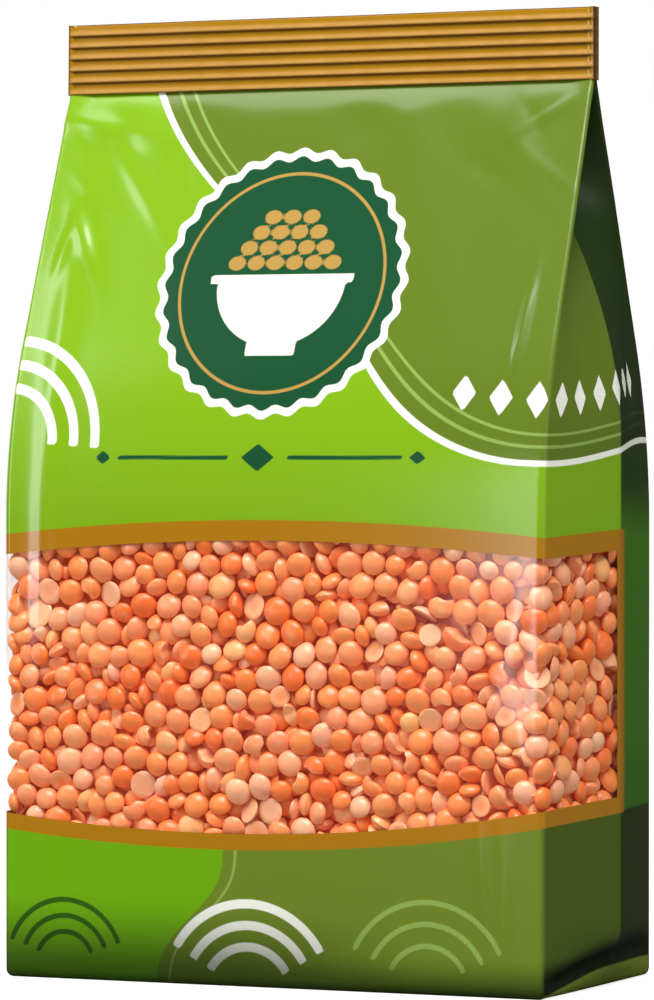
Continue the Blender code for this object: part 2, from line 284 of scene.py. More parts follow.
bpy.ops.mesh.primitive_plane_add(size=FLOOR_SIZE)
floor = bpy.context.active_object
floor.name = "floor"
floor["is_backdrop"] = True
floor_paint = bpy.data.materials.new("floor_paint")
floor_paint.use_nodes = True
floor_nodes, floor_links = floor_paint.node_tree.nodes, floor_paint.node_tree.links
floor_shader = floor_nodes["Principled BSDF"]
floor_grey = scaled(floor_nodes, light_path(floor_nodes, "Is Glossy Ray"), -FLOOR_LESS_IN_GLOSS, FLOOR_GREY)
floor_glow = scaled(floor_nodes, light_path(floor_nodes, "Is Camera Ray"), FLOOR_GLOW, 0.0)
floor_links.new(floor_grey, floor_shader.inputs["Base Color"])
floor_links.new(floor_glow, floor_shader.inputs["Emission Strength"])
floor_shader.inputs["Roughness"].default_value = FLOOR_ROUGHNESS
floor_shader.inputs["Specular IOR Level"].default_value = 0.0
floor_shader.inputs["Emission Color"].default_value = (1, 1, 1, 1)
floor.data.materials.append(floor_paint)
print("floor", FLOOR_SIZE, "m across")

# %% Studio lights
BAG_MIDDLE = (0, 0, 0.1)
LIGHTS = (
    ("key", (0.24, -0.56, 1.18), BAG_MIDDLE, (1.0, 0.5), 24),
    ("upper_left", (-0.46, -0.33, 1.1), (0, 0, 0.16), (0.4, 0.3), 1.25),
    ("left_strip", (-0.72, -0.7, 0.42), (0, 0, 0.12), (0.14, 0.8), 2.2),
    ("front_strip", (-0.245, -0.98, 0.1), BAG_MIDDLE, (0.06, 0.5), 0.45),
    ("right_strip", (0.95, -0.3, 0.25), BAG_MIDDLE, (0.1, 0.4), 0.6),
    ("left_rim", (-0.95, 0.42, 0.2), BAG_MIDDLE, (0.16, 0.6), 1.2),
    ("behind", (-0.5, 1.1, 0.9), BAG_MIDDLE, (0.8, 0.8), 17))


def soft_light(name, place, aim, size, power):
    """A rectangular light at a place, turned to where it aims."""
    data = bpy.data.lights.new(name, "AREA")
    data.shape = "RECTANGLE"
    data.size, data.size_y = size
    data.energy = power
    light = bpy.data.objects.new(name, data)
    bpy.context.scene.collection.objects.link(light)
    light.location = place
    light.rotation_euler = (Vector(aim) - Vector(place)).to_track_quat("-Z", "Y").to_euler()


for light_row in LIGHTS:
    soft_light(*light_row)
print("lights:", ", ".join(light_row[0] for light_row in LIGHTS))

# %% The room
ROOM_GLOW = 0.57
ROOM_LESS_IN_GLOSS = 0.5

room = bpy.data.worlds.new("room")
bpy.context.scene.world = room
room.use_nodes = True
room_nodes, room_links = room.node_tree.nodes, room.node_tree.links
room_nodes.clear()
room_out = room_nodes.new("ShaderNodeOutputWorld")
room_mix = room_nodes.new("ShaderNodeMixShader")
room_glow = room_nodes.new("ShaderNodeBackground")
room_view = room_nodes.new("ShaderNodeBackground")
room_view.inputs["Color"].default_value = (1, 1, 1, 1)
room_level = scaled(room_nodes, light_path(room_nodes, "Is Glossy Ray"), -ROOM_LESS_IN_GLOSS, ROOM_GLOW)
room_links.new(room_level, room_glow.inputs["Strength"])
room_links.new(light_path(room_nodes, "Is Camera Ray"), room_mix.inputs[0])
room_links.new(room_glow.outputs[0], room_mix.inputs[1])
room_links.new(room_view.outputs[0], room_mix.inputs[2])
room_links.new(room_mix.outputs[0], room_out.inputs[0])
print("room light", ROOM_GLOW, "and in reflections", round(ROOM_GLOW - ROOM_LESS_IN_GLOSS, 2))


# %% [markdown]
# Shader maths as plain expressions
# Procedural materials are mostly arithmetic. Wiring each Math node by hand hides the idea, so this
# small class wraps a node's output socket and turns Python's operators into Math nodes: 1 - mask,
# a * b or a.clamp() read like the formula they stand for. Colours go through Mix nodes instead,
# because a Math node would turn them grey.

# %% The socket class
class Wire:
    """An output socket of one material's node tree, with operators that add Math nodes."""

    def __init__(self, tree, socket):
        self.tree = tree
        self.socket = socket

    def node(self, kind, settings=None, inputs=None, output=0):
        """Adds a node of any type: its settings first, then values or links on its input sockets."""
        node = self.tree.nodes.new(kind)
        for name, value in (settings or {}).items():
            if name == "stops":
                ramp = node.color_ramp
                while len(ramp.elements) < len(value):
                    ramp.elements.new(0.5)
                for element, (place, colour) in zip(ramp.elements, value):
                    element.position = place
                    element.color = (*colour, 1)
            else:
                setattr(node, name, value)
        for name, value in (inputs or {}).items():
            if isinstance(value, Wire):
                self.tree.links.new(value.socket, node.inputs[name])
            else:
                node.inputs[name].default_value = value
        return Wire(self.tree, node.outputs[output])

    def math(self, operation, *others):
        inputs = {0: self}
        inputs.update({index + 1: other for index, other in enumerate(others)})
        return self.node("ShaderNodeMath", {"operation": operation}, inputs)

    def __add__(self, other):
        return self.math("ADD", other)

    def __radd__(self, other):
        return self.math("ADD", other)

    def __sub__(self, other):
        return self.math("SUBTRACT", other)

    def __rsub__(self, other):
        return self.node("ShaderNodeMath", {"operation": "SUBTRACT"}, {0: other, 1: self})

    def __mul__(self, other):
        return self.math("MULTIPLY", other)

    def __rmul__(self, other):
        return self.math("MULTIPLY", other)

    def absolute(self):
        return self.math("ABSOLUTE")

    def clamp(self):
        return self.node("ShaderNodeClamp", {}, {0: self})

    def step(self, low, high):
        """0 below low, 1 above high and a smooth rise between; low may be the larger."""
        return self.node("ShaderNodeMapRange", {"interpolation_type": "SMOOTHSTEP"},
                         {0: self, 1: low, 2: high, 3: 0.0, 4: 1.0})

    def blend_numbers(self, number_a, number_b):
        """The first number where this mask is 0 and the second where it is 1."""
        return number_a + (number_b - number_a) * self

    def blend(self, colour_a, colour_b):
        """The first colour where this mask is 0 and the second where it is 1."""
        node = self.tree.nodes.new("ShaderNodeMix")
        node.data_type = "RGBA"
        self.tree.links.new(self.socket, node.inputs[0])
        for socket, colour in ((node.inputs[6], colour_a), (node.inputs[7], colour_b)):
            if isinstance(colour, Wire):
                self.tree.links.new(colour.socket, socket)
            else:
                socket.default_value = (*colour, 1)
        return Wire(self.tree, node.outputs[2])


def start_material(name):
    """A new material with a Principled shader, and a Wire to add nodes with."""
    material = bpy.data.materials.new(name)
    material.use_nodes = True
    tree = material.node_tree
    shader = tree.nodes["Principled BSDF"]
    return material, shader, Wire(tree, shader.outputs[0])


def screen(red, green, blue):
    """A colour picked on a screen, 0 to 255, as the linear values that Blender's sockets take."""
    return tuple((value / 255 / 12.92) if value < 11 else ((value / 255 + 0.055) / 1.055) ** 2.4
                 for value in (red, green, blue))


def from_attribute(wire, name):
    """A number stored on the mesh's points under a name."""
    return wire.node("ShaderNodeAttribute", {"attribute_name": name}, {}, 2)


print("a mid grey on screen is", round(screen(128, 128, 128)[0], 3), "in linear light")

# %% [markdown]
# The sheet of film
# The film is one grid of points: columns round the bag and rows up it. Its rows follow the window's
# arched edges, so that the clear film can be cut out exactly along them. The columns are close on the
# front and gussets, where the print needs sharp edges, and wider on the back. Wrinkles are small
# moves along the film's normal, added to the smooth shape before the points become a mesh.

# %% Columns round the bag
CELL = 0.61 * MM
BACK_CELL = 1.1 * MM
EDGE_STEP = 0.12
CREASE_STEP = 0.04
SEAM_HALF_WIDTH = 5 * MM
SEAM_STEP = 0.12 * MM
SEAM_EDGE_STEP = 0.001


def spread(start, end, cell):
    """Even steps from start up to but not including end, about one cell apart."""
    count = max(1, round(abs(end - start) / cell))
    return np.linspace(start, end, count, endpoint=False)


def film_columns():
    """Positions round the bag from the middle of the back, left side first, to the same place."""
    front = np.concatenate([spread(0, 1, CELL / STRETCHES[0]), spread(1, 2, EDGE_STEP),
                            spread(2, WINDOW_END, CELL / STRETCHES[2]), spread(WINDOW_END, 3, CREASE_STEP)])
    seam = 6 - (SEAM_HALF_WIDTH + SEAM_STEP) / STRETCHES[0]
    seam_top = 6 - SEAM_HALF_WIDTH / STRETCHES[0]
    back = np.concatenate([spread(3, 4, BACK_CELL / STRETCHES[2]), spread(4, 5, EDGE_STEP),
                           spread(5, seam, BACK_CELL / STRETCHES[0]), spread(seam, seam_top, SEAM_EDGE_STEP),
                           spread(seam_top, 6, BACK_CELL / STRETCHES[0]), [6.0]])
    right = np.concatenate([front, back])
    return np.concatenate([-right[:0:-1], right])


columns = film_columns()
past_crease = 2 * GUSSET_LENGTH - run_length(6 - np.abs(columns))
lengths = np.sign(columns) * np.where(np.abs(columns) > 3, past_crease, np.abs(run_length(columns)))
print("film columns:", len(columns))

# %% Rows up the bag
FOOT_ROWS = (0.0, 0.006, 0.02, 0.04, 0.065)
EVEN_ROWS_START = 0.085
FILM_INTO_SEAL = 0.4 * MM

limit_low, limit_high = window_limits(np.clip(lengths, -GUSSET_LENGTH, GUSSET_LENGTH))
below = np.concatenate([FOOT_ROWS, spread(EVEN_ROWS_START, 1, CELL / WINDOW_BOTTOM)])
inside = spread(0, 1, CELL / (WINDOW_TOP - WINDOW_BOTTOM))
above = np.append(spread(0, 1, CELL / (SEAL_BOTTOM - WINDOW_TOP)), 1.0)
rows_low = below[:, None] * limit_low
rows_inside = limit_low + inside[:, None] * (limit_high - limit_low)
rows_high = limit_high + above[:, None] * (SEAL_BOTTOM + FILM_INTO_SEAL - limit_high)
height_grid = np.concatenate([rows_low, rows_inside, rows_high])
run_grid = np.broadcast_to(columns, height_grid.shape)
length_grid = np.broadcast_to(lengths, height_grid.shape)
print("film grid", height_grid.shape, "points")

# %% [markdown]
# Wrinkles
# Film is stiff along one way only, so it puckers where it is gathered into the seal, dents where the
# gusset folds in, and is pulled smooth where the lentils fill it. Each wrinkle here is a ridge with a
# place, a direction, a length and a width, and sums of them give a crumpled patch. A few long soft
# swells keep the big front panel from looking like sheet metal.


# %% A ridge, and ridges at random
CREASES = 16
SWELLS = 7


def ridge(length, height, place, turn, long, wide, tall):
    """One soft ridge on the film, as a distance out of it; sizes in mm and turn in degrees."""
    along_x, along_z = math.cos(math.radians(turn)), math.sin(math.radians(turn))
    x = length / MM - place[0]
    z = height / MM - place[1]
    along = x * along_x + z * along_z
    across = -x * along_z + z * along_x
    return tall * MM * np.exp(-(along / long) ** 2 - (across / wide) ** 2)


def crumpled(length, height, rng):
    """Small creases under the two ends of the seal, and long swells across the upper front."""
    field = np.zeros_like(height)
    for _ in range(CREASES):
        side = rng.choice([-1, 1])
        place = (side * rng.uniform(26, 52), rng.uniform(148, 165))
        field = field + ridge(length, height, place, side * rng.uniform(35, 75) + 90 * (side > 0),
                              rng.uniform(4, 11), rng.uniform(1.1, 2.4), rng.uniform(-0.11, 0.12))
    for _ in range(SWELLS):
        place = (rng.uniform(-45, 45), rng.uniform(100, 150))
        field = field + ridge(length, height, place, rng.uniform(60, 120), rng.uniform(16, 40),
                              rng.uniform(5, 11), rng.uniform(-0.25, 0.3))
    return field


print(CREASES, "creases and", SWELLS, "swells at random")

# %% Where the seal gathers the film
PUCKER = 0.16 * MM
PUCKER_WAVES = 9
PUCKER_DROP = 8
PUCKER_SPREAD = 4.5
ROLL = 0.55 * MM
ROLL_REACH = 6.0
ROLL_WAVE = 1.2
ROLL_END = 5


def below_seal(height):
    """Distance down from the seal, in mm."""
    return np.clip((SEAL_BOTTOM - height) / MM, 0, None)


def gathered(length, height, rng):
    """Puckers a little under the seal, and the front's roll into it, which stops short of the corners."""
    fall = below_seal(height)
    wave = np.zeros_like(height)
    for _ in range(PUCKER_WAVES):
        turns = length / MM * 2 * math.pi / rng.uniform(16, 52)
        wave = wave + np.sin(turns + rng.uniform(0, 6.3)) * rng.uniform(0.4, 1) / 4
    pucker = PUCKER * wave * np.exp(-((fall - PUCKER_DROP) / PUCKER_SPREAD) ** 2)
    roll = -ROLL * np.clip(1 - fall / (ROLL_REACH + ROLL_WAVE * wave), 0, 1) ** 2
    return pucker, roll * np.clip((HALF_WIDTH / MM - 1 - np.abs(length) / MM) / ROLL_END, 0, 1)


print("the film rolls in by", round(ROLL / MM, 2), "mm under the seal")

# %% All wrinkles
WRINKLES_END = 5
THINNEST = 0.25 * MM
PLACED_RIDGES = (
    ((-46, 122), 92, 30, 2.6, 0.3), ((-46.5, 70), 90, 34, 2.4, 0.4), ((47.5, 122), 86, 9, 0.95, 0.35),
    ((46, 161), 32, 8, 1.1, 0.22), ((-44, 161), -12, 13, 2.2, 0.3),
    ((-45, 139), 118, 7, 1.5, 0.35), ((-49, 137), 80, 5, 1.2, 0.25), ((-36, 150), 128, 10, 1.5, 0.16),
    ((49, 66), 84, 8, 2.4, 0.12), ((50.5, 44), 96, 9, 2.6, 0.14), ((45, 56), 90, 14, 3.0, 0.1),
    ((47, 14), 90, 12, 1.5, 0.3), ((43, 20), 94, 9, 1.1, 0.25),
    ((-67, 112), 62, 16, 4.0, -0.4), ((67, 112), 118, 16, 4.0, -0.4))


def wrinkle_field(length, height, seed):
    """All wrinkles of the film at these places, never so deep that front and back would cross."""
    rng = np.random.default_rng(seed)
    pucker, roll = gathered(length, height, rng)
    field = crumpled(length, height, rng)
    for place, turn, long, wide, tall in PLACED_RIDGES:
        field = field + ridge(length, height, place, turn, long, wide, tall)
    field = field * np.clip(below_seal(height) / WRINKLES_END, 0, 1) + pucker + roll
    return np.maximum(field, THINNEST - half_depth(height))


print(len(PLACED_RIDGES), "ridges with a place of their own")

# %% [markdown]
# Seam and foot
# The tube of film is closed by a flat seam up the back, where one edge of the sheet laps over the
# other: a low step on one side, a fine groove on the other, and faint ribs from the sealing bar
# between them. At the foot of each gusset the folded bottom stands out under the bulging side, so a
# groove runs above it, which starts at the front edge and is highest at the gusset's crease.

# %% Back seam and foot fold
SEAM_LAP = 0.35 * MM
SEAM_LAP_FADE = 11 * MM
SEAM_GROOVE = 0.2 * MM
SEAM_GROOVE_PLACE = 0.6 * MM
SEAM_GROOVE_WIDTH = 0.9 * MM
SEAM_RIB = 0.04 * MM
SEAM_RIB_PITCH = 2.6
FOLD_START = 55
FOLD_LENGTH = 50
FOLD_END = 6
FOLD_LOW = 2.4
FOLD_CLIMB = 3.6
FOLD_CREST = 28
FOLD_WIDTH = 1.7
FOLD_DEPTH = 1.1 * MM


def back_seam(run, height):
    """Relief of the seam up the middle of the back."""
    across = np.sign(run) * (6 - np.abs(run)) * STRETCHES[0]
    beyond = np.abs(across) - SEAM_HALF_WIDTH
    lap = -SEAM_LAP * np.exp(-(beyond / SEAM_LAP_FADE) ** 2) * (across > 0)
    groove = SEAM_GROOVE * np.exp(-((beyond - SEAM_GROOVE_PLACE) / SEAM_GROOVE_WIDTH) ** 2) * (across < 0)
    ribs = -SEAM_RIB * (1 + np.sin(height / MM * 2 * math.pi / SEAM_RIB_PITCH))
    return np.where(np.abs(run) > 5, np.where(beyond > 0.5 * SEAM_STEP, lap - groove, ribs), 0)


def foot_fold(length, height):
    """Relief above the folded foot of each gusset."""
    from_edge = np.abs(length) / MM - FOLD_START
    on_gusset = np.clip(from_edge / FOLD_END, 0, 1) * np.clip((FOLD_LENGTH - from_edge) / FOLD_END, 0, 1)
    rise = np.clip(from_edge / FOLD_CREST, 0, 1)
    above_fold = height / MM - FOLD_LOW - FOLD_CLIMB * rise * rise * (3 - 2 * rise)
    return -FOLD_DEPTH * on_gusset * np.exp(-(above_fold / FOLD_WIDTH) ** 2)


print("seam", round(2 * SEAM_HALF_WIDTH / MM), "mm wide, fold up to", FOLD_LOW + FOLD_CLIMB, "mm up")

# %% [markdown]
# The film in its place
# The relief is added along the film's normals. Dents are left out up to where the lentils reach,
# because the film can't go in where they press it out. The foot curls in by the edge's radius.

# %% Film points
WRINKLE_SEED = 11
FILLED_HEIGHT = 110 * MM
FILLED_FADE = 8 * MM
FOOT_SMOOTH = 12 * MM


def film_normals(points):
    """Unit normals of a grid of points, pointing out of the bag."""
    along = np.gradient(points, axis=1)
    up = np.gradient(points, axis=0)
    normal = np.cross(along, up)
    return normal / np.maximum(np.linalg.norm(normal, axis=-1, keepdims=True), 1e-12)


folded = np.where(length_grid > GUSSET_LENGTH, 2 * GUSSET_LENGTH - length_grid, length_grid)
folded = np.where(folded < -GUSSET_LENGTH, -2 * GUSSET_LENGTH - folded, folded)
relief = wrinkle_field(folded, height_grid, WRINKLE_SEED)
base_round = np.clip(EDGE_RADIUS - height_grid, 0, None)
base_inset = EDGE_RADIUS - np.sqrt(EDGE_RADIUS ** 2 - base_round ** 2)
film_smooth = film_point(height_grid, run_grid, base_inset)
beside_lentils = np.clip((FILLED_HEIGHT - height_grid) / FILLED_FADE, 0, 1)
relief = np.where(relief < 0, relief * (1 - beside_lentils), relief)
relief = relief * np.clip(height_grid / FOOT_SMOOTH, 0, 1)
relief = relief + back_seam(run_grid, height_grid) + foot_fold(length_grid, height_grid)
film_points = film_smooth + film_normals(film_smooth) * relief[..., None]
print("relief from", round(float(relief.min()) / MM, 2), "to", round(float(relief.max()) / MM, 2), "mm")


# %% [markdown]
# From a grid to meshes
# The same grid gives two pieces. Faces between the window's edges, as far as the gusset's crease,
# become the clear film. All others become the printed film. A helper makes a mesh from arrays, which
# is much quicker than adding faces one by one.

# %% Meshes from arrays
def grid_faces(rows, columns_in_row, closed=False):
    """Four-sided faces of a grid of points, by row and column; closed joins the last column to the first."""
    first = np.arange(columns_in_row if closed else columns_in_row - 1)
    start = np.arange(rows - 1)[:, None] * columns_in_row
    here, after = start + first, start + (first + 1) % columns_in_row
    return np.stack([here, after, after + columns_in_row, here + columns_in_row], axis=-1)


def mesh_from_arrays(name, points, faces):
    mesh = bpy.data.meshes.new(name)
    mesh.vertices.add(len(points))
    mesh.vertices.foreach_set("co", np.asarray(points, np.float32).ravel())
    sides = faces.shape[1]
    mesh.loops.add(faces.size)
    mesh.loops.foreach_set("vertex_index", faces.astype(np.int32).ravel())
    mesh.polygons.add(len(faces))
    mesh.polygons.foreach_set("loop_start", np.arange(0, faces.size, sides, dtype=np.int32))
    mesh.polygons.foreach_set("loop_total", np.full(len(faces), sides, np.int32))
    mesh.update(calc_edges=True)
    mesh.shade_smooth()
    piece = bpy.data.objects.new(name, mesh)
    bpy.context.scene.collection.objects.link(piece)
    return piece


def keep_used(points, faces, stored):
    """Drops the points that no face uses, and the numbers stored on them."""
    used, renumbered = np.unique(faces, return_inverse=True)
    stored = {name: value[used] for name, value in stored.items()}
    return points[used], renumbered.reshape(faces.shape), stored


def store(piece, name, values):
    """Stores a number on each point of a piece, where its material can read it."""
    attribute = piece.data.attributes.new(name, "FLOAT", "POINT")
    attribute.data.foreach_set("value", np.asarray(values, np.float32).ravel())


quads = grid_faces(*height_grid.shape)
middle_run = np.abs((columns[1:] + columns[:-1]) / 2)
in_rows = np.zeros(len(height_grid) - 1, bool)
in_rows[len(below):len(below) + len(inside)] = True
clear = in_rows[:, None] & (middle_run < WINDOW_END)
print("film faces", int((~clear).sum()), "printed and", int(clear.sum()), "clear")

# %% [markdown]
# The print, as distances
# The pack's print is a few fields of colour with simple shapes on them. Each shape is stored on the
# film's points as a signed distance in millimetres: below zero inside the shape, above zero outside.
# The material then turns a distance into a sharp edge. This needs no picture, stays sharp close up,
# and follows the film through every wrinkle. The shapes are plain ones of our own: rolling fields
# with a few lines along them, a medallion with a bowl on it, arcs and a row of lozenges.


# %% Shapes as signed distances
def oval(x, z, place, half_wide, half_high):
    scaled = np.hypot((x - place[0]) / half_wide, (z - place[1]) / half_high)
    return (scaled - 1) * min(half_wide, half_high)


def lozenge(x, z, place, half_wide, half_high):
    scaled = np.abs(x - place[0]) / half_wide + np.abs(z - place[1]) / half_high
    return (scaled - 1) * half_wide * half_high / math.hypot(half_wide, half_high)


def bar(x, z, low, high):
    """A rectangle between two corners."""
    across = np.abs(x - (low[0] + high[0]) / 2) - (high[0] - low[0]) / 2
    up = np.abs(z - (low[1] + high[1]) / 2) - (high[1] - low[1]) / 2
    return np.maximum(across, up)


def arcs(x, z, centre, radii, wide, start, end):
    """Rings round a centre between two angles, in degrees against the clock from the right."""
    out = np.hypot(x - centre[0], z - centre[1])
    angle = np.degrees(np.arctan2(z - centre[1], x - centre[0]))
    ends = (np.abs(angle - (start + end) / 2) - (end - start) / 2) * math.pi / 180 * out
    rings = np.minimum.reduce([np.abs(out - radius) for radius in radii]) - wide / 2
    return np.maximum(rings, ends)


def joined(*shapes):
    return np.minimum.reduce(shapes)


print("the middle of a lozenge 4 by 6 mm is", round(float(lozenge(0, 0, (0, 0), 2, 3)), 2), "mm inside it")

# %% Fields of colour and the stripe
BACK_START = 106
STRIPE_PAST_CREASE = 3.0
HILL_SLOPE = 0.9
HILL_BLEND = 16
LOW_HILL_BLEND = 7

s_mm = length_grid / MM
s_mm = np.where(s_mm < -BACK_START, -s_mm, s_mm)
z_mm = height_grid / MM
prints = {"film_s": s_mm, "film_z": z_mm}
stripe_low = limit_low - STRIPE_BOTTOM
stripe_high = limit_high + STRIPE_TOP
prints["stripe"] = np.maximum(np.maximum(height_grid - stripe_high, stripe_low - height_grid) / MM,
                              np.abs(s_mm) - GUSSET_LENGTH / MM - STRIPE_PAST_CREASE)
hill_left = (s_mm + 33 - (168 - z_mm) * HILL_SLOPE + 4 * np.sin(z_mm / 11)) / math.hypot(1, HILL_SLOPE)
hill_under = z_mm - 99 - 2.2 * np.sin(s_mm / 15 + 1.0)
prints["hill"] = -smooth_minimum(hill_left, hill_under, HILL_BLEND)
low_left = (s_mm + 9 + (25 - z_mm) * 0.55 + 2 * np.sin(z_mm / 4)) / 1.15
prints["low_hill"] = -smooth_minimum(low_left, 44 - z_mm, LOW_HILL_BLEND)
print("fields:", ", ".join(prints))

# %% A medallion with a bowl of lentils
MEDAL = (-2.0, 130.5)
MEDAL_RADIUS = 23.5
MEDAL_SCALLOPS = 28
BOWL_RIM = 130.5
HEAP_ROWS = 4

medal_angle = np.arctan2(z_mm - MEDAL[1], s_mm - MEDAL[0])
prints["medal_out"] = np.hypot(s_mm - MEDAL[0], z_mm - MEDAL[1])
prints["medal"] = prints["medal_out"] - MEDAL_RADIUS - 0.5 * np.cos(MEDAL_SCALLOPS * medal_angle)
bowl = np.maximum(oval(s_mm, z_mm, (MEDAL[0], BOWL_RIM), 13, 12), z_mm - BOWL_RIM)
bowl_foot = bar(s_mm, z_mm, (MEDAL[0] - 5, 116.8), (MEDAL[0] + 5, 119.6))
prints["bowl"] = joined(bowl, bowl_foot, bar(s_mm, z_mm, (MEDAL[0] - 14.5, 130.4), (MEDAL[0] + 14.5, 132.0)))
heap_places = [(MEDAL[0] + (index - (5 - row) / 2) * 3.9, 134.2 + row * 2.9)
               for row in range(HEAP_ROWS) for index in range(6 - row)]
prints["heap"] = joined(*[oval(s_mm, z_mm, place, 1.75, 1.35) for place in heap_places])
print("lentils in the bowl:", len(heap_places))

# %% Rules, arcs and lozenges
rule = joined(bar(s_mm, z_mm, (-31, 97.5), (-8, 98.3)), bar(s_mm, z_mm, (4, 97.5), (27, 98.3)))
prints["rule"] = joined(rule, lozenge(s_mm, z_mm, (-2, 97.9), 3.4, 2.6),
                        *[lozenge(s_mm, z_mm, (place, 97.9), 1.7, 1.3) for place in (-34, 30)])
prints["cream"] = joined(arcs(s_mm, z_mm, (-55, 101), (10, 14.5, 19), 1.9, -4, 86),
                         arcs(s_mm, z_mm, (-4, -1.5), (9, 13, 17), 1.7, 30, 150),
                         *[lozenge(s_mm, z_mm, (place, 110.5 + 2.2 * math.sin(place / 15 + 1.0)), 2.3, 3.4)
                           for place in np.arange(38, 100, 7.2)])
prints["dark"] = arcs(s_mm, z_mm, (-42, 3), (6, 9, 12), 1.0, 20, 160)
prints["pale"] = arcs(s_mm, z_mm, (32, 1), (8, 12, 16), 1.0, 25, 155)
print("print layers:", ", ".join(prints))

# %% [markdown]
# Inks
# Each ink is given as the colour it should have on screen, and is divided by how bright this studio
# makes a white sheet, so that the lit bag comes out in those colours. What is pale on the pack is
# left undivided: it is meant to come out nearly white.

# %% Inks
LIGHT_LEVEL = 1.72


def ink(red, green, blue):
    """An ink that looks like this screen colour under this scene's lights."""
    return tuple(value / LIGHT_LEVEL for value in screen(red, green, blue))


INK = {
    "lime": ink(150, 206, 14),
    "lime_low": ink(128, 200, 0),
    "olive": ink(117, 144, 35),
    "olive_low": ink(130, 157, 42),
    # gusset: the rear gussets' dark green, part print and part painted shade.
    "gusset": ink(72, 146, 14),
    # Painted shade of the folded-in gusset, near black at its top.
    "gusset_fold_shade": ink(26, 58, 14),
    "gusset_low": ink(54, 76, 10),
    # deep: painted shade towards the foot and over each gusset's fold, and the colour of the sheet under the
    # bag.
    "deep": ink(24, 44, 4),
    # foot: painted highlight on the lip of each gusset's folded foot.
    "foot": ink(134, 156, 40),
    "gold": ink(204, 140, 0),
    "badge": ink(20, 92, 52),
    "amber": ink(214, 170, 84),
    "cream": screen(225, 228, 214),
    "line": ink(168, 202, 96),
    "dark": ink(58, 112, 14),
}
print(len(INK), "inks")

# %% [markdown]
# Printed film
# The film is glossy plastic with the ink on its inner side, so the colours on the front share one
# gloss. The gussets are duller, because folded film gives no clean reflection. The lime ground is
# deeper at the bottom, an olive field covers the right of the upper half and of the lower edge, and
# the rear half of each gusset is dark green, part print and part painted shade, with painted shade
# near black at its top where it folds in. Painted shade also darkens the film towards the foot, with
# a painted shadow over each gusset's folded foot and a painted highlight on its lip. Each function
# below lays its colour over what is there.


# %% Fields, gussets, motifs and foot
def inside_of(wire, name, edge=0.0):
    """1 inside a stored shape, or inside a larger one by an edge in mm."""
    return (from_attribute(wire, name) - edge).step(0.12, -0.12)


def line_along(wire, name, place, wide):
    """1 on a line that follows a stored shape's edge at a distance, in mm."""
    return ((from_attribute(wire, name) - place).absolute() - wide / 2).step(0.1, -0.1)


def fields(wire, z, cloud):
    colour = (z + (cloud - 0.5) * 14).step(92, 28).blend(INK["lime"], INK["lime_low"])
    colour = inside_of(wire, "hill").blend(colour, INK["olive"])
    colour = inside_of(wire, "low_hill").blend(colour, INK["olive_low"])
    hill_lines = line_along(wire, "hill", -3.0, 0.6) + line_along(wire, "hill", -5.2, 0.5)
    colour = hill_lines.clamp().blend(colour, INK["line"])
    colour = line_along(wire, "low_hill", -2.2, 0.5).blend(colour, INK["line"])
    colour = inside_of(wire, "pale").blend(colour, INK["line"])
    return inside_of(wire, "dark").blend(colour, INK["dark"])


def gussets(colour, s, z, cloud):
    past_edge = s.absolute() - 54
    past_crease = s.absolute() - GUSSET_LENGTH / MM
    rear = past_crease.step(-0.3, 0.3) * past_crease.step(28.0, 27.0)
    # The rear half of each gusset is dark green, part print and part painted shade, and higher up it takes a
    # near black painted shade where the gusset folds in.
    rear_print_and_shade = (z + (cloud - 0.5) * 10).step(82, 94).blend(INK["gusset"], INK["gusset_fold_shade"])
    rear_print_and_shade = z.step(33.2, 32.4).blend(rear_print_and_shade, INK["gusset_low"])
    colour = (past_edge.step(0, 1.5) * z.step(44, 40) * 0.6).blend(colour, INK["gusset_low"])
    return (rear * 0.9).blend(colour, rear_print_and_shade)


def motifs(wire, colour):
    for mask, name in (
            (inside_of(wire, "cream"), "cream"), (line_along(wire, "hill", 0.0, 1.1), "cream"),
            (inside_of(wire, "rule"), "badge"), (inside_of(wire, "medal", 1.6), "cream"),
            (inside_of(wire, "medal"), "badge"), (line_along(wire, "medal_out", 20.6, 0.6), "amber"),
            (inside_of(wire, "heap"), "amber"), (inside_of(wire, "bowl"), "cream"),
            (inside_of(wire, "stripe"), "gold")):
        colour = mask.blend(colour, INK[name])
    return colour


def foot_shade_and_lip_highlight(colour, s, z):
    """Painted shade towards the foot, and on each gusset a painted fold shadow over a painted lip highlight.
    """
    beside = (s.absolute() - 54.4).step(0, 0.8) * (s.absolute() - 106.4).step(0.4, -0.4)
    # Painted shade: the film darkens towards the foot, from higher up on the left of the front.
    shade = s.step(-10, 40).blend_numbers(z.step(17, 1), z.step(8, 0))
    colour = (shade * 0.85).blend(colour, INK["deep"])
    rise = (s.absolute() - FOLD_START).step(0, FOLD_CREST)
    # Painted shadow in the groove above each gusset's folded foot.
    colour = (beside * (z - rise * 3.7).step(7.5, 3.0)).blend(colour, INK["deep"])
    # Painted highlight: pale olive on the lip of each gusset's folded foot.
    return (beside * (z - rise * 3.3).step(1.0, 0.4)).blend(colour, INK["foot"])


print("the gold stripe is printed last but for the foot's shade")

# %% The film's material
FILM_ROUGHNESS = 0.2
FILM_COAT = 0.3
GUSSET_DULLER = 0.2
DULL_FROM = 53.5
DULL_OVER = 2.5


def film_gloss(shader):
    """Settings that printed and gold film share."""
    shader.inputs["Roughness"].default_value = FILM_ROUGHNESS
    shader.inputs["Specular IOR Level"].default_value = 0.5
    shader.inputs["Coat Weight"].default_value = FILM_COAT
    shader.inputs["Coat Roughness"].default_value = 0.1


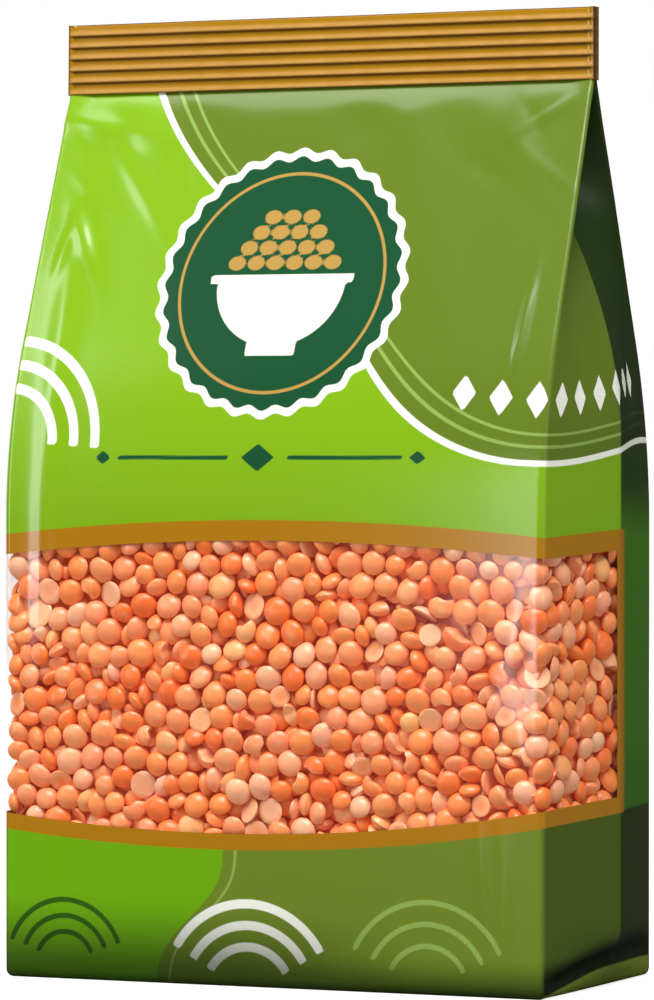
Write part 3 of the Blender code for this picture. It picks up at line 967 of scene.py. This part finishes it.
def printed_film_material():
    material, shader, wire = start_material("printed_film")
    film_gloss(shader)
    s = from_attribute(wire, "film_s")
    z = from_attribute(wire, "film_z")
    flat = wire.node("ShaderNodeCombineXYZ", {}, {0: s, 1: z, 2: 0.0})
    cloud = wire.node("ShaderNodeTexNoise", {}, {"Vector": flat, "Scale": 0.03, "Detail": 2.0})
    colour = gussets(fields(wire, z, cloud), s, z, cloud)
    colour = foot_shade_and_lip_highlight(motifs(wire, colour), s, z)
    folded_film = (s.absolute() - DULL_FROM).step(0, DULL_OVER)
    wire.tree.links.new(colour.socket, shader.inputs["Base Color"])
    wire.tree.links.new((FILM_ROUGHNESS + folded_film * GUSSET_DULLER).socket, shader.inputs["Roughness"])
    wire.tree.links.new((FILM_COAT - folded_film * FILM_COAT).socket, shader.inputs["Coat Weight"])
    return material


points_flat = film_points.reshape(-1, 3)
flat_prints = {name: value.ravel() for name, value in prints.items()}
film_keep, film_faces, film_store = keep_used(points_flat, quads[~clear], flat_prints)
film = mesh_from_arrays("film_bag", film_keep, film_faces)
for name, values in film_store.items():
    store(film, name, values)
film.data.materials.append(printed_film_material())
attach(film, "root")
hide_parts("bag")
print("printed film:", len(film.data.polygons), "faces")

# %% [markdown]
# Close the foot of the bag
# The bottom of the bag is folded flat under it. A sheet across the foot closes the film.

# %% Base
foot_ring = film_points[0, :-1]
foot_points = np.concatenate([foot_ring * (share, share, 1) for share in (1, 0.6, 0.05)])
foot_faces = grid_faces(3, len(foot_ring), closed=True)[..., [0, 3, 2, 1]].reshape(-1, 4)
foot = mesh_from_arrays("film_foot", foot_points, foot_faces)
foot_material, foot_shader, _ = start_material("foot_film")
film_gloss(foot_shader)
foot_shader.inputs["Base Color"].default_value = (*INK["deep"], 1)
foot.data.materials.append(foot_material)
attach(foot, "root")
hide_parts("bag")
print("foot:", len(foot.data.polygons), "faces")

# %% [markdown]
# The crimped seal
# Hot jaws press the top of the bag into level ridges. Each ridge is a small step: it leans out on its
# way down and then drops back into a groove, so it catches the light just above a dark line. The
# strip is that outline carried across the bag, with a faint wave, because pressed film is never
# quite straight. Its last millimetre at each end isn't ridged, and shows the cut edge of the film.
# The gold has light and shade painted on as well: a pale painted highlight on the lower half of each
# ridge, and brown painted shade in the grooves and on the ends.

# %% The seal's shape
SEAL_LIP = 1.2 * MM
SEAL_STEPS = ((0.0, 0.42), (0.04, 0.84), (0.1, 1.0), (0.2, 0.96), (0.35, 0.82), (0.5, 0.7), (0.62, 0.64),
              (0.8, 0.6), (0.92, 0.56), (0.97, 0.44))
SEAL_TOP_SHARE = 0.55
SEAL_END = 1.1 * MM
SEAL_COLUMNS = 150
END_SHARES = np.array([0, 0.3, 0.7])


def seal_outline():
    """Heights and half thicknesses up the seal's face."""
    pitch = SEAL_HEIGHT / SEAL_RIDGES
    steps = [((ridge_index + share) * pitch, part * SEAL_LIP)
             for ridge_index in range(SEAL_RIDGES) for share, part in SEAL_STEPS]
    steps.append((SEAL_HEIGHT, SEAL_TOP_SHARE * SEAL_LIP))
    return np.array(steps)


face = seal_outline()
loop_z = np.concatenate([face[:, 0], face[::-1, 0]])
loop_y = np.concatenate([-face[:, 1], face[::-1, 1]])
seal_x = np.linspace(SEAL_END - SEAL_HALF_WIDTH, SEAL_HALF_WIDTH - SEAL_END, SEAL_COLUMNS)
seal_x = np.concatenate([-SEAL_HALF_WIDTH + SEAL_END * END_SHARES, seal_x,
                         SEAL_HALF_WIDTH - SEAL_END * END_SHARES[::-1]])
seal_wave = 0.18 * MM * np.sin(seal_x / MM * 0.11 + 1) + 0.08 * MM * np.sin(seal_x / MM * 0.31)
plain_end = np.clip((np.abs(seal_x) - SEAL_HALF_WIDTH + SEAL_END) / (0.6 * SEAL_END), 0, 1)[:, None]
ridged_y = loop_y * (1 - plain_end) + np.sign(loop_y) * SEAL_LIP * plain_end
seal_y = ridged_y + seal_wave[:, None] * (loop_z / SEAL_HEIGHT)
seal_grid = np.stack(np.broadcast_arrays(seal_x[:, None], seal_y, SEAL_BOTTOM + loop_z), axis=-1)
print("seal grid", seal_grid.shape[:2], "points")

# %% The seal's mesh
seal_rows, seal_cols = seal_grid.shape[:2]
seal_faces = grid_faces(seal_rows, seal_cols, closed=True).reshape(-1, 4)
end_quads = []
for end in (0, seal_rows - 1):
    for step in range(len(face) - 1):
        quad = [end * seal_cols + step, end * seal_cols + step + 1,
                end * seal_cols + seal_cols - 2 - step, end * seal_cols + seal_cols - 1 - step]
        end_quads.append(quad if end else quad[::-1])
seal_faces = np.concatenate([seal_faces[:, ::-1], end_quads])
seal = mesh_from_arrays("gold_seal", seal_grid.reshape(-1, 3), seal_faces)
ridge_share = np.append(np.tile([share for share, _ in SEAL_STEPS], SEAL_RIDGES), 0.9)
ridge_share = np.concatenate([ridge_share, ridge_share[::-1]])
store(seal, "ridge", np.broadcast_to(ridge_share, (seal_rows, seal_cols)))
store(seal, "seal_s", np.broadcast_to(seal_x[:, None] / MM, (seal_rows, seal_cols)))
print("seal:", len(seal.data.polygons), "faces")


# %% The seal's gold
def seal_material():
    """Deep gold, a painted highlight low on each ridge, and painted brown shade in the grooves and at the
    ends.
    """
    material, shader, wire = start_material("gold_film")
    film_gloss(shader)
    up = from_attribute(wire, "ridge")
    place = from_attribute(wire, "seal_s")
    mottled = wire.node("ShaderNodeTexNoise", {"noise_dimensions": "1D"},
                        {"W": place, "Scale": 0.18, "Detail": 3.0})
    # Painted shade in the grooves, under each ridge's lip.
    groove = (up.step(0.1, 0.02) + up.step(0.86, 0.98)).clamp()
    # Painted shade on the seal's ends.
    end = (place.absolute() - SEAL_HALF_WIDTH / MM).step(-0.5, -0.1)
    # Painted highlight: pale gold on the lower half of each ridge, over the deep gold.
    colour = up.step(0.62, 0.3).blend(ink(196, 140, 2), ink(220, 166, 84))
    colour = groove.blend(colour, ink(142, 80, 8))
    colour = (mottled.step(0.35, 0.7) * 0.3).blend(colour, ink(184, 134, 12))
    colour = (end * 0.75).blend(colour, ink(104, 66, 4))
    wire.tree.links.new(colour.socket, shader.inputs["Base Color"])
    return material


seal.data.materials.append(seal_material())
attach(seal, "root")
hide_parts("bag")
print("seal ridges:", SEAL_RIDGES)

# %% [markdown]
# The clear film
# The window is the same film without ink. A thin sheet bends no light, so a glass shader would be
# slow and no better: most light goes straight through a Transparent shader, and the rest is mirrored
# by a glossy one. How much is mirrored follows the angle, by Layer Weight's facing value, which is the
# same from both sides. A Fresnel node would mirror everything that leaves the bag at a slant.

# %% Window film
MIRROR_LEAST = 0.085
MIRROR_AT_RIM = 0.9
RIM_POWER = 5.0


def clear_film_material():
    material, shader, wire = start_material("clear_film")
    shader.inputs["Base Color"].default_value = (0.95, 0.95, 0.95, 1)
    shader.inputs["Metallic"].default_value = 1.0
    shader.inputs["Roughness"].default_value = 0.12
    through = wire.node("ShaderNodeBsdfTransparent", {}, {})
    slant = wire.node("ShaderNodeLayerWeight", {}, {"Blend": 0.5}, 1)
    mirror = slant.math("POWER", RIM_POWER) * MIRROR_AT_RIM + MIRROR_LEAST
    mixed = wire.node("ShaderNodeMixShader", {}, {0: mirror.clamp(), 1: through, 2: wire})
    output = next(node for node in wire.tree.nodes if node.type == "OUTPUT_MATERIAL")
    wire.tree.links.new(mixed.socket, output.inputs["Surface"])
    return material


clear_keep, clear_faces, _ = keep_used(points_flat, quads[clear], {})
window = mesh_from_arrays("window_film", clear_keep, clear_faces)
window.data.materials.append(clear_film_material())
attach(window, "root")
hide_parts("bag")
print("window film:", len(window.data.polygons), "faces")

# %% [markdown]
# One lentil
# A red lentil has lost its skin: a smooth disc, domed on both sides and rounded at the rim, about
# twice as wide as thick. Many fall apart into two halves, each flat on one side, and some break
# across. Each shape is a profile turned round the short axis, and the broken one is then cut off
# along a wavy line. Lentils further in hardly show, so their shape has fewer sides.

# %% Lentil shapes
LENTIL_RADIUS = 2.5 * MM
LENTIL_HALF_THICKNESS = 1.4 * MM


def turned_shape(profile, sides):
    """Points and triangles of a profile of radius and height pairs, from pole to pole."""
    angles = np.arange(sides) * 2 * math.pi / sides
    rings = [np.stack([radius * np.cos(angles), radius * np.sin(angles), np.full(sides, height)], axis=-1)
             for radius, height in profile[1:-1]]
    points = np.concatenate([[(0, 0, profile[0][1])], *rings, [(0, 0, profile[-1][1])]])
    faces = []
    for side in range(sides):
        after = (side + 1) % sides
        faces.append((0, 1 + side, 1 + after))
        for ring in range(len(rings) - 1):
            a, b = 1 + ring * sides + side, 1 + ring * sides + after
            faces += [(a, a + sides, b + sides), (a, b + sides, b)]
        last = 1 + (len(rings) - 1) * sides
        faces.append((last + side, len(points) - 1, last + after))
    return points, np.array(faces)


def dome(share):
    """Height of the lentil's dome at a share of its radius."""
    return LENTIL_HALF_THICKNESS * (1 - share ** 2.1) ** 0.58


def dome_profile(shares):
    upper = [(share * LENTIL_RADIUS, dome(share)) for share in shares]
    return upper + [(radius, -height) for radius, height in upper[-2::-1]]


SIDES = 16
SHARES = (0.0, 0.35, 0.62, 0.83, 0.96, 1.0)
INNER_SIDES = 10
INNER_SHARES = (0.0, 0.5, 0.86, 1.0)
BROKEN_AT = 0.3
BROKEN_WAVE = 0.12

whole_shape = turned_shape(dome_profile(SHARES), SIDES)
inner_shape = turned_shape(dome_profile(INNER_SHARES), INNER_SIDES)
split_profile = [(share * LENTIL_RADIUS, dome(share)) for share in SHARES[:-1]]
split_profile += [(LENTIL_RADIUS * 0.99, 0.1 * MM), (LENTIL_RADIUS * 0.95, -0.02 * MM),
                  (LENTIL_RADIUS * 0.6, -0.06 * MM), (0.0, 0.12 * MM)]
split_shape = turned_shape(split_profile, SIDES)
broken_points = whole_shape[0].copy()
broken_line = (BROKEN_AT + BROKEN_WAVE * np.sin(broken_points[:, 1] / MM * 2)) * LENTIL_RADIUS
broken_points[:, 0] = np.minimum(broken_points[:, 0], broken_line)
broken_shape = (broken_points, whole_shape[1])
print("a whole lentil has", len(whole_shape[1]), "triangles and a half", len(split_shape[1]))

# %% [markdown]
# Pour the lentils
# Behind the window the lentils lie against the film, most of them flat, some on edge, each resting
# against its neighbours. A column of them is placed in each of the bag's front edges, and then three
# layers on a staggered grid. After that they are pushed apart wherever two overlap. For this, each
# lentil is stood for by nine small balls. The deepest contact of each pair moves both away from each
# other and turns them, and the film pushes back what would cross it. The few that are still squeezed
# in the end are taken out, and small ones fill the gaps behind the front edges.

# %% Inside the film
def push_from_film(points):
    """How far each point is inside the film, and the direction to push it further in."""
    x, y, z = np.abs(points[:, 0]), -np.abs(points[:, 1]), points[:, 2]
    width, depth = half_width(z), half_depth(z)
    centre_x, centre_y = width - EDGE_RADIUS, -depth + EDGE_RADIUS
    share = np.clip(x / centre_x, 0, 1)
    front = y + depth + crown(z) * (1 - share * share)
    slope = (crease_reach(z) - width) / -centre_y
    long = np.sqrt(1 + slope * slope)
    side = (width + slope * np.clip(y - centre_y, 0, None) - x) / long
    from_centre = np.hypot(x - centre_x, y - centre_y)
    in_corner = (x > centre_x) & (y < centre_y)
    inside = np.where(in_corner, EDGE_RADIUS - from_centre, np.minimum(front, side))
    near_front = front < side
    push_x = np.where(near_front, 0.0, -1 / long)
    push_y = np.where(near_front, 1.0, 0.0)
    push_x = np.where(in_corner, (centre_x - x) / np.maximum(from_centre, 1e-9), push_x)
    push_y = np.where(in_corner, (centre_y - y) / np.maximum(from_centre, 1e-9), push_y)
    push_x = push_x * np.where(points[:, 0] < 0, -1, 1)
    push_y = push_y * np.where(points[:, 1] > 0, -1, 1)
    return inside, np.stack([push_x, push_y, np.zeros_like(z)], axis=-1)


middle_inside = push_from_film(np.array([[0.0, 0.0, WINDOW_BOTTOM]]))[0]
print("from the bag's middle to the film:", round(float(middle_inside[0]) / MM, 1), "mm")

# %% First places
PILE_SEED = 3
LAYER_DEPTHS = (1.5 * MM, 3.7 * MM, 5.9 * MM)
PITCH = 4.68 * MM
ROW_PITCH = PITCH * 0.866
LOOSENESS = 0.13
BAND_MARGIN = 3.5 * MM
PILE_REACH = GUSSET_LENGTH + 2 * MM
LYING = 0.55
EDGE_TURNS = (0.15, 1.4)
EDGE_DEPTH = 1.9 * MM
EDGE_MARGIN = 1 * MM
EDGE_PITCH = 4.3 * MM
EDGE_CLEAR = 3.0 * MM
pile_rng = np.random.default_rng(PILE_SEED)


def edge_places():
    """A column of lentils in each of the bag's front edges: centre, direction of short axis, layer."""
    low, high = window_limits(HALF_WIDTH)
    for side in (-1, 1):
        for height in np.arange(low - EDGE_MARGIN, high + EDGE_MARGIN, EDGE_PITCH):
            turn = pile_rng.choice(EDGE_TURNS) + pile_rng.normal(0, 0.25)
            here = film_point(height + pile_rng.normal(0, 0.3 * MM), side * 1.5, EDGE_DEPTH)
            axis = np.array([side * math.sin(turn), -math.cos(turn), pile_rng.normal(0, 0.3)])
            yield here, axis / np.linalg.norm(axis), 0


def near_film(length, height, inset):
    """A place inside the film and the way along it; past the crease it goes straight on."""
    run = run_at_length(np.array(min(abs(length), GUSSET_LENGTH - 0.1 * MM))) * np.sign(length)
    here = film_point(height, run, inset)
    ahead = here - film_point(height, run - 0.02 * np.sign(run), inset)
    ahead = ahead * np.sign(run) / np.linalg.norm(ahead)
    return here + ahead * np.sign(run) * max(abs(length) - GUSSET_LENGTH, 0), ahead


def leaning(ahead):
    """A short axis that points out of the bag for a lentil that lies flat, and aside for one on edge."""
    out = np.array([ahead[1], -ahead[0], 0])
    lying = pile_rng.random() < LYING
    lean = pile_rng.uniform(0, 0.5) if lying else pile_rng.uniform(0.4, 1.5)
    way = pile_rng.uniform(0, 2 * math.pi)
    aside = math.cos(way) * ahead + math.sin(way) * np.array([0, 0, 1])
    return math.cos(lean) * out + math.sin(lean) * aside


def layer_places(layer, inset):
    """Staggered rows behind the window and a little past it on all sides, at one depth."""
    rows = int((WINDOW_TOP - WINDOW_BOTTOM + 2 * BAND_MARGIN) / ROW_PITCH) + 1
    half_row = int(PILE_REACH / PITCH)
    for row in range(rows):
        for column in range(-half_row, half_row + 1):
            length = (column + 0.5 * ((row + layer) % 2) + pile_rng.normal(0, LOOSENESS)) * PITCH
            length = float(np.clip(length, -PILE_REACH, PILE_REACH))
            if layer == 0 and abs(abs(length) - HALF_WIDTH) < EDGE_CLEAR:
                continue
            low, high = window_limits(length)
            share = (row + pile_rng.normal(0, LOOSENESS)) / (rows - 1)
            height = low - BAND_MARGIN + (high - low + 2 * BAND_MARGIN) * share
            here, ahead = near_film(length, height, inset)
            yield here, leaning(ahead), layer


places = list(edge_places())
for layer, inset in enumerate(LAYER_DEPTHS):
    places += layer_places(layer, inset)
centres, axes, layers = (np.array(values) for values in zip(*places))
sizes = pile_rng.uniform(0.8, 1.08, len(centres))
print("lentils to place:", len(centres))

# %% Each lentil as nine balls
BALL_COUNT = 8
BALL_RING = 1.6 * MM
BALL_RADIUS = 0.9 * MM


def side_axes(axis):
    """Two directions square to each axis and to each other."""
    helper = np.where(np.abs(axis[:, 2:3]) < 0.9, [[0.0, 0.0, 1.0]], [[1.0, 0.0, 0.0]])
    first = np.cross(helper, axis)
    first = first / np.linalg.norm(first, axis=1, keepdims=True)
    return first, np.cross(axis, first)


def ball_offsets(axis, size):
    """One ball in the middle and a ring of them round it, from each lentil's centre."""
    first, second = side_axes(axis)
    around = (np.arange(BALL_COUNT) * 2 * math.pi / BALL_COUNT)[None, :, None]
    ring = BALL_RING * (np.cos(around) * first[:, None] + np.sin(around) * second[:, None])
    return np.concatenate([np.zeros((len(axis), 1, 3)), ring], axis=1) * size[:, None, None]


radii = np.array([LENTIL_HALF_THICKNESS] + [BALL_RADIUS] * BALL_COUNT) * sizes[:, None]
print("balls:", radii.size)

# %% Push them apart
ROUNDS = 110
PAIRS_EVERY = 8
NEAR = 2.15
PUSH = 0.5
CROWDING = 0.6
TURNING = 1.4
WALL_TURNING = 0.5
FILM_GAP = 0.12 * MM
DEEPEST = 8.0 * MM
TOO_DEEP = 0.3
EASE = 0.05 * MM


def neighbours(places):
    """Pairs of lentils that are near enough to touch."""
    tree = KDTree(len(places))
    for index, place in enumerate(places):
        tree.insert(place, index)
    tree.balance()
    pairs = [(index, other) for index, place in enumerate(places)
             for _, other, _ in tree.find_range(place, NEAR * LENTIL_RADIUS) if other > index]
    return np.array(pairs)


def turned(axes, turn):
    """The axes after a small turn, each about its own turn vector."""
    axes = axes + np.cross(turn, axes)
    return axes / np.linalg.norm(axes, axis=1, keepdims=True)


def contacts(balls, pairs):
    """Pairs that overlap: the two lentils, how deep, and which ball of each is deepest in the other."""
    one, two = pairs[:, 0], pairs[:, 1]
    gap = balls[one][:, :, None] - balls[two][:, None, :]
    distance = np.sqrt((gap ** 2).sum(-1))
    overlap = (radii[one][:, :, None] + radii[two][:, None, :] - distance).reshape(len(pairs), -1)
    deepest = overlap.argmax(axis=1)
    depth = overlap[np.arange(len(pairs)), deepest]
    hit = depth > 0
    one, two, deepest, depth = one[hit], two[hit], deepest[hit], depth[hit]
    return one, two, depth, deepest // (BALL_COUNT + 1), deepest % (BALL_COUNT + 1)


def push_apart(centres, axes, pairs):
    """Moves and turns lentils that overlap; gives the contacts as well."""
    offsets = ball_offsets(axes, sizes)
    balls = centres[:, None] + offsets
    one, two, depth, ball_one, ball_two = contacts(balls, pairs)
    direction = balls[one, ball_one] - balls[two, ball_two]
    direction = direction / np.maximum(np.linalg.norm(direction, axis=1, keepdims=True), 1e-9)
    push = PUSH * depth[:, None] * direction
    move, spin, count = np.zeros_like(centres), np.zeros_like(centres), np.zeros(len(centres))
    for who, ball, sign in ((one, ball_one, 1), (two, ball_two, -1)):
        np.add.at(move, who, sign * push)
        np.add.at(spin, who, np.cross(offsets[who, ball], sign * push) / LENTIL_RADIUS ** 2)
        np.add.at(count, who, 1)
    share = np.maximum(count, 1)[:, None] ** CROWDING
    return centres + move / share, turned(axes, spin / share * TURNING), (one, two, depth)


def push_inside(centres, axes, ease):
    """Eases lentils towards the film, then pushes back what would cross it or lies too deep."""
    centres = centres - push_from_film(centres)[1] * ease
    offsets = ball_offsets(axes, sizes)
    inside, push_in = push_from_film((centres[:, None] + offsets).reshape(-1, 3))
    short = np.clip((radii.ravel() + FILM_GAP) - inside, 0, None)
    over = np.clip(inside - DEEPEST, 0, None) * TOO_DEEP
    shift = (push_in * (short - over)[:, None]).reshape(len(centres), -1, 3)
    every, worst = np.arange(len(centres)), np.abs(shift).sum(-1).argmax(axis=1)
    wall = shift[every, worst]
    turn = np.cross(offsets[every, worst], wall) / LENTIL_RADIUS ** 2 * WALL_TURNING
    return centres + wall, turned(axes, turn)


for settle in range(ROUNDS):
    if settle % PAIRS_EVERY == 0:
        pairs = neighbours(centres)
    centres, axes, (one, two, depth) = push_apart(centres, axes, pairs)
    centres, axes = push_inside(centres, axes, EASE * (1 - settle / ROUNDS))
print("overlaps left:", int((depth > 0.15 * MM).sum()), "of", len(pairs), "pairs, deepest",
      round(float(depth.max()) / MM, 2), "mm")

# %% Take out what is still squeezed, and fill in behind the front edges
SQUEEZED = 0.42 * MM
FILL_PITCH = 2.6 * MM
FILL_RUNS = (1.2, 1.8)
FILL_DEPTHS = (2.8, 3.6)
FILL_SIZES = (0.78, 0.95)

squeezed = np.unique(np.maximum(one, two)[depth > SQUEEZED])
kept = np.setdiff1d(np.arange(len(centres)), squeezed)
fill_heights = np.tile(np.arange(*window_limits(HALF_WIDTH), FILL_PITCH), 2)
fill_count = len(fill_heights)
fill_sides = np.repeat([-1, 1], fill_count // 2)
fill_centres = film_point(fill_heights + pile_rng.normal(0, 0.4 * MM, fill_count),
                          fill_sides * pile_rng.uniform(*FILL_RUNS, fill_count),
                          pile_rng.uniform(*FILL_DEPTHS, fill_count) * MM)
fill_axes = pile_rng.normal(0, 1, (fill_count, 3))
fill_axes = fill_axes / np.linalg.norm(fill_axes, axis=1, keepdims=True)
centres = np.concatenate([centres[kept], fill_centres])
axes = np.concatenate([axes[kept], fill_axes])
layers = np.concatenate([layers[kept], np.ones(fill_count, int)])
sizes = np.concatenate([sizes[kept], pile_rng.uniform(*FILL_SIZES, fill_count)])
print("taken out:", len(squeezed), "lentils, filled in:", fill_count, "and now there are", len(centres))


# %% [markdown]
# Lentils as meshes
# Each kind becomes one mesh: the shape's points are turned, sized and moved for every lentil at once,
# and what would still cross the film is moved inside it. Three random numbers are stored on each
# lentil's points, for its hue, its paleness and a place in the noise, so that one material can make
# no two alike. Its layer is stored too, and where it was cut.

# %% A mesh of many lentils
LEAST_INSIDE = 0.05 * MM
STRETCHING = 0.04
SHARP_RIM = 48


def way_inside(points):
    """The move that brings each point inside the film."""
    inside, push_in = push_from_film(points)
    return push_in * np.clip(LEAST_INSIDE - inside, 0, None)[:, None]


def placed_points(shape_points, chosen):
    """A shape's points for each chosen lentil, turned, sized, moved and kept inside the film."""
    axis = axes[chosen]
    first, second = side_axes(axis)
    spin = pile_rng.uniform(0, 2 * math.pi, len(chosen))[:, None]
    turned_first = np.cos(spin) * first + np.sin(spin) * second
    turned_second = np.cross(axis, turned_first)
    stretch = 1 + pile_rng.normal(0, STRETCHING, (len(chosen), 2))
    local = shape_points[None] * sizes[chosen][:, None, None]
    placed = (local[..., 0:1] * stretch[:, None, 0:1] * turned_first[:, None]
              + local[..., 1:2] * stretch[:, None, 1:2] * turned_second[:, None]
              + local[..., 2:3] * axis[:, None] + centres[chosen][:, None])
    crossing = way_inside(placed.reshape(-1, 3)).reshape(placed.shape)
    worst = np.abs(crossing).sum(-1).argmax(axis=1)
    placed = (placed + crossing[np.arange(len(chosen)), worst][:, None]).reshape(-1, 3)
    return placed + way_inside(placed)


def lentil_piece(name, lentil_shape, chosen, cut):
    """One mesh of all chosen lentils, with the numbers that their material reads."""
    shape_points, shape_faces = lentil_shape
    count = len(shape_points)
    faces = (shape_faces[None] + np.arange(len(chosen))[:, None, None] * count).reshape(-1, 3)
    piece = mesh_from_arrays(name, placed_points(shape_points, chosen), faces)
    piece.data.set_sharp_from_angle(angle=math.radians(SHARP_RIM))
    for number in ("hue", "pale", "place"):
        store(piece, number, np.repeat(pile_rng.random(len(chosen)), count))
    store(piece, "deep", np.repeat(layers[chosen] / 2.0, count))
    store(piece, "cut", np.tile(np.asarray(cut, float), len(chosen)))
    return piece


lot = pile_rng.random(len(centres))
flip = pile_rng.random(len(centres)) < 0.5
axes = np.where(flip[:, None], -axes, axes)
print("lentils turned over:", int(flip.sum()))

# %% [markdown]
# The look of a lentil
# Skinless lentils run from deep orange to pale salmon. A colour ramp over each one's own number gives
# that range, some are paler, all are finely mottled, and cut faces are lighter. A little light enters
# them and comes out redder. In a real pile, light bounces many times between the lentils and leaves
# the gaps a warm dark red, which takes a renderer very long. Here the lentils further in glow faintly
# in that colour instead, and only the gaps show it.

# %% Lentil material
GAP_GLOW = (0.06, 0.011, 0.004)
HUES = ((0.0, screen(252, 112, 26)), (0.25, screen(255, 138, 56)), (0.55, screen(255, 154, 84)),
        (0.85, screen(255, 150, 98)), (1.0, screen(255, 184, 110)))
LOOKS = (("Emission Strength", 1.0), ("Roughness", 0.38), ("Specular IOR Level", 0.85),
         ("Subsurface Weight", 0.25), ("Subsurface Radius", (1.0, 0.35, 0.12)),
         ("Subsurface Scale", 0.001), ("Sheen Weight", 0.1))


def lentil_material():
    material, shader, wire = start_material("red_lentil")
    stored = ("hue", "pale", "place", "cut", "deep")
    hue, pale, place, cut, deep = (from_attribute(wire, name) for name in stored)
    where = wire.node("ShaderNodeTexCoord", {}, {}, 3)
    mottle = wire.node("ShaderNodeTexNoise", {"noise_dimensions": "4D"},
                       {"Vector": where, "W": place * 50, "Scale": 420.0, "Detail": 3.0})
    colour = wire.node("ShaderNodeValToRGB", {"stops": HUES}, {0: hue})
    colour = (pale.step(0.72, 1.0) * 0.55).blend(colour, screen(255, 210, 176))
    colour = (mottle.step(0.52, 0.78) * 0.35).blend(colour, screen(255, 206, 168))
    colour = (mottle.step(0.48, 0.25) * 0.3).blend(colour, screen(244, 108, 36))
    colour = (cut * 0.5).blend(colour, screen(255, 188, 140))
    glow = deep.blend((0.0, 0.0, 0.0), GAP_GLOW)
    dimple = wire.node("ShaderNodeBump", {}, {"Height": mottle, "Strength": 0.25, "Distance": 0.0002})
    wire.tree.links.new(colour.socket, shader.inputs["Base Color"])
    wire.tree.links.new(glow.socket, shader.inputs["Emission Color"])
    wire.tree.links.new(dimple.socket, shader.inputs["Normal"])
    for name, value in LOOKS:
        shader.inputs[name].default_value = value
    return material


lentil_look = lentil_material()
print("hues:", len(HUES))

# %% Four kinds of lentils
SPLIT_BELOW = 0.15
BROKEN_BELOW = 0.24

split, whole = lot < SPLIT_BELOW, lot >= BROKEN_BELOW
kinds = (
    ("lentils_whole", whole_shape, whole & (layers == 0), np.zeros(len(whole_shape[0]))),
    ("lentils_inner", inner_shape, whole & (layers > 0), np.zeros(len(inner_shape[0]))),
    ("lentils_split", split_shape, split, split_shape[0][:, 2] < 0.11 * MM),
    ("lentils_broken", broken_shape, ~split & ~whole, broken_points[:, 0] > 0.15 * LENTIL_RADIUS))
for name, lentil_shape, chosen, cut in kinds:
    piece = lentil_piece(name, lentil_shape, np.flatnonzero(chosen), cut)
    piece.data.materials.append(lentil_look)
    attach(piece, "root")
    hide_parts("lentils")
    print(piece.name, len(piece.data.polygons), "triangles")

# %% [markdown]
# The rest of the filling
# Only three layers of lentils are worth making one by one. Behind them a bumpy sheet in the shadow
# colour of the gaps stands for the rest of the filling, so that no ray finds the bag empty. It comes
# closer to the film at the front edges, where there is less room for lentils.

# %% Filling behind
CORE_COLUMNS = 90
CORE_ROWS = 40
CORE_DEPTH = 7.6 * MM
CORE_CLOSER = 4.6 * MM
CORE_EDGE_WIDTH = 3.2 * MM
CORE_BUMP = 0.6 * MM

core_half = np.linspace(0, 3, CORE_COLUMNS)
core_runs = np.concatenate([-core_half[:0:-1], core_half])
core_low, core_high = window_limits(run_length(core_runs))
core_rows = np.linspace(0, 1, CORE_ROWS)[:, None]
core_heights = core_low - 2 * BAND_MARGIN + core_rows * (core_high - core_low + 4 * BAND_MARGIN)
core_runs_grid = np.broadcast_to(core_runs, core_heights.shape)
core_bumps = CORE_BUMP * np.sin(core_runs_grid * 70) * np.sin(core_heights / MM * 1.3)
core_near_edge = np.exp(-((np.abs(run_length(core_runs)) - HALF_WIDTH) / CORE_EDGE_WIDTH) ** 2)
core_points = film_point(core_heights, core_runs_grid, CORE_DEPTH - CORE_CLOSER * core_near_edge + core_bumps)
core_faces = grid_faces(CORE_ROWS, len(core_runs)).reshape(-1, 4)
core = mesh_from_arrays("lentils_behind", core_points.reshape(-1, 3), core_faces)
core_material, core_shader, core_wire = start_material("filling_in_shade")
grain = core_wire.node("ShaderNodeTexVoronoi", {}, {"Scale": 240.0})
core_colour = grain.step(0.2, 0.7).blend(screen(240, 96, 44), screen(200, 66, 28))
core_wire.tree.links.new(core_colour.socket, core_shader.inputs["Base Color"])
# Painted bounce light: the sheet glows faintly in the warm red of the gaps, as the lentils further in do.
core_shader.inputs["Emission Color"].default_value = (*GAP_GLOW, 1)
core_shader.inputs["Emission Strength"].default_value = 1.0
core_shader.inputs["Roughness"].default_value = 0.8
core.data.materials.append(core_material)
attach(core, "root")
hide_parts("lentils")
print("filling behind:", len(core.data.polygons), "faces")

# %% [markdown]
# Sizes at the end
# The last lines note the size of the plain model and of the dressed one, which should agree.

# %% Sizes and finish
dressed_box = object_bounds()
as_lists = {name: [list(map(float, corner_point)) for corner_point in box]
            for name, box in (("cad", cad_box), ("visual", dressed_box))}
print("sizes", as_lists)
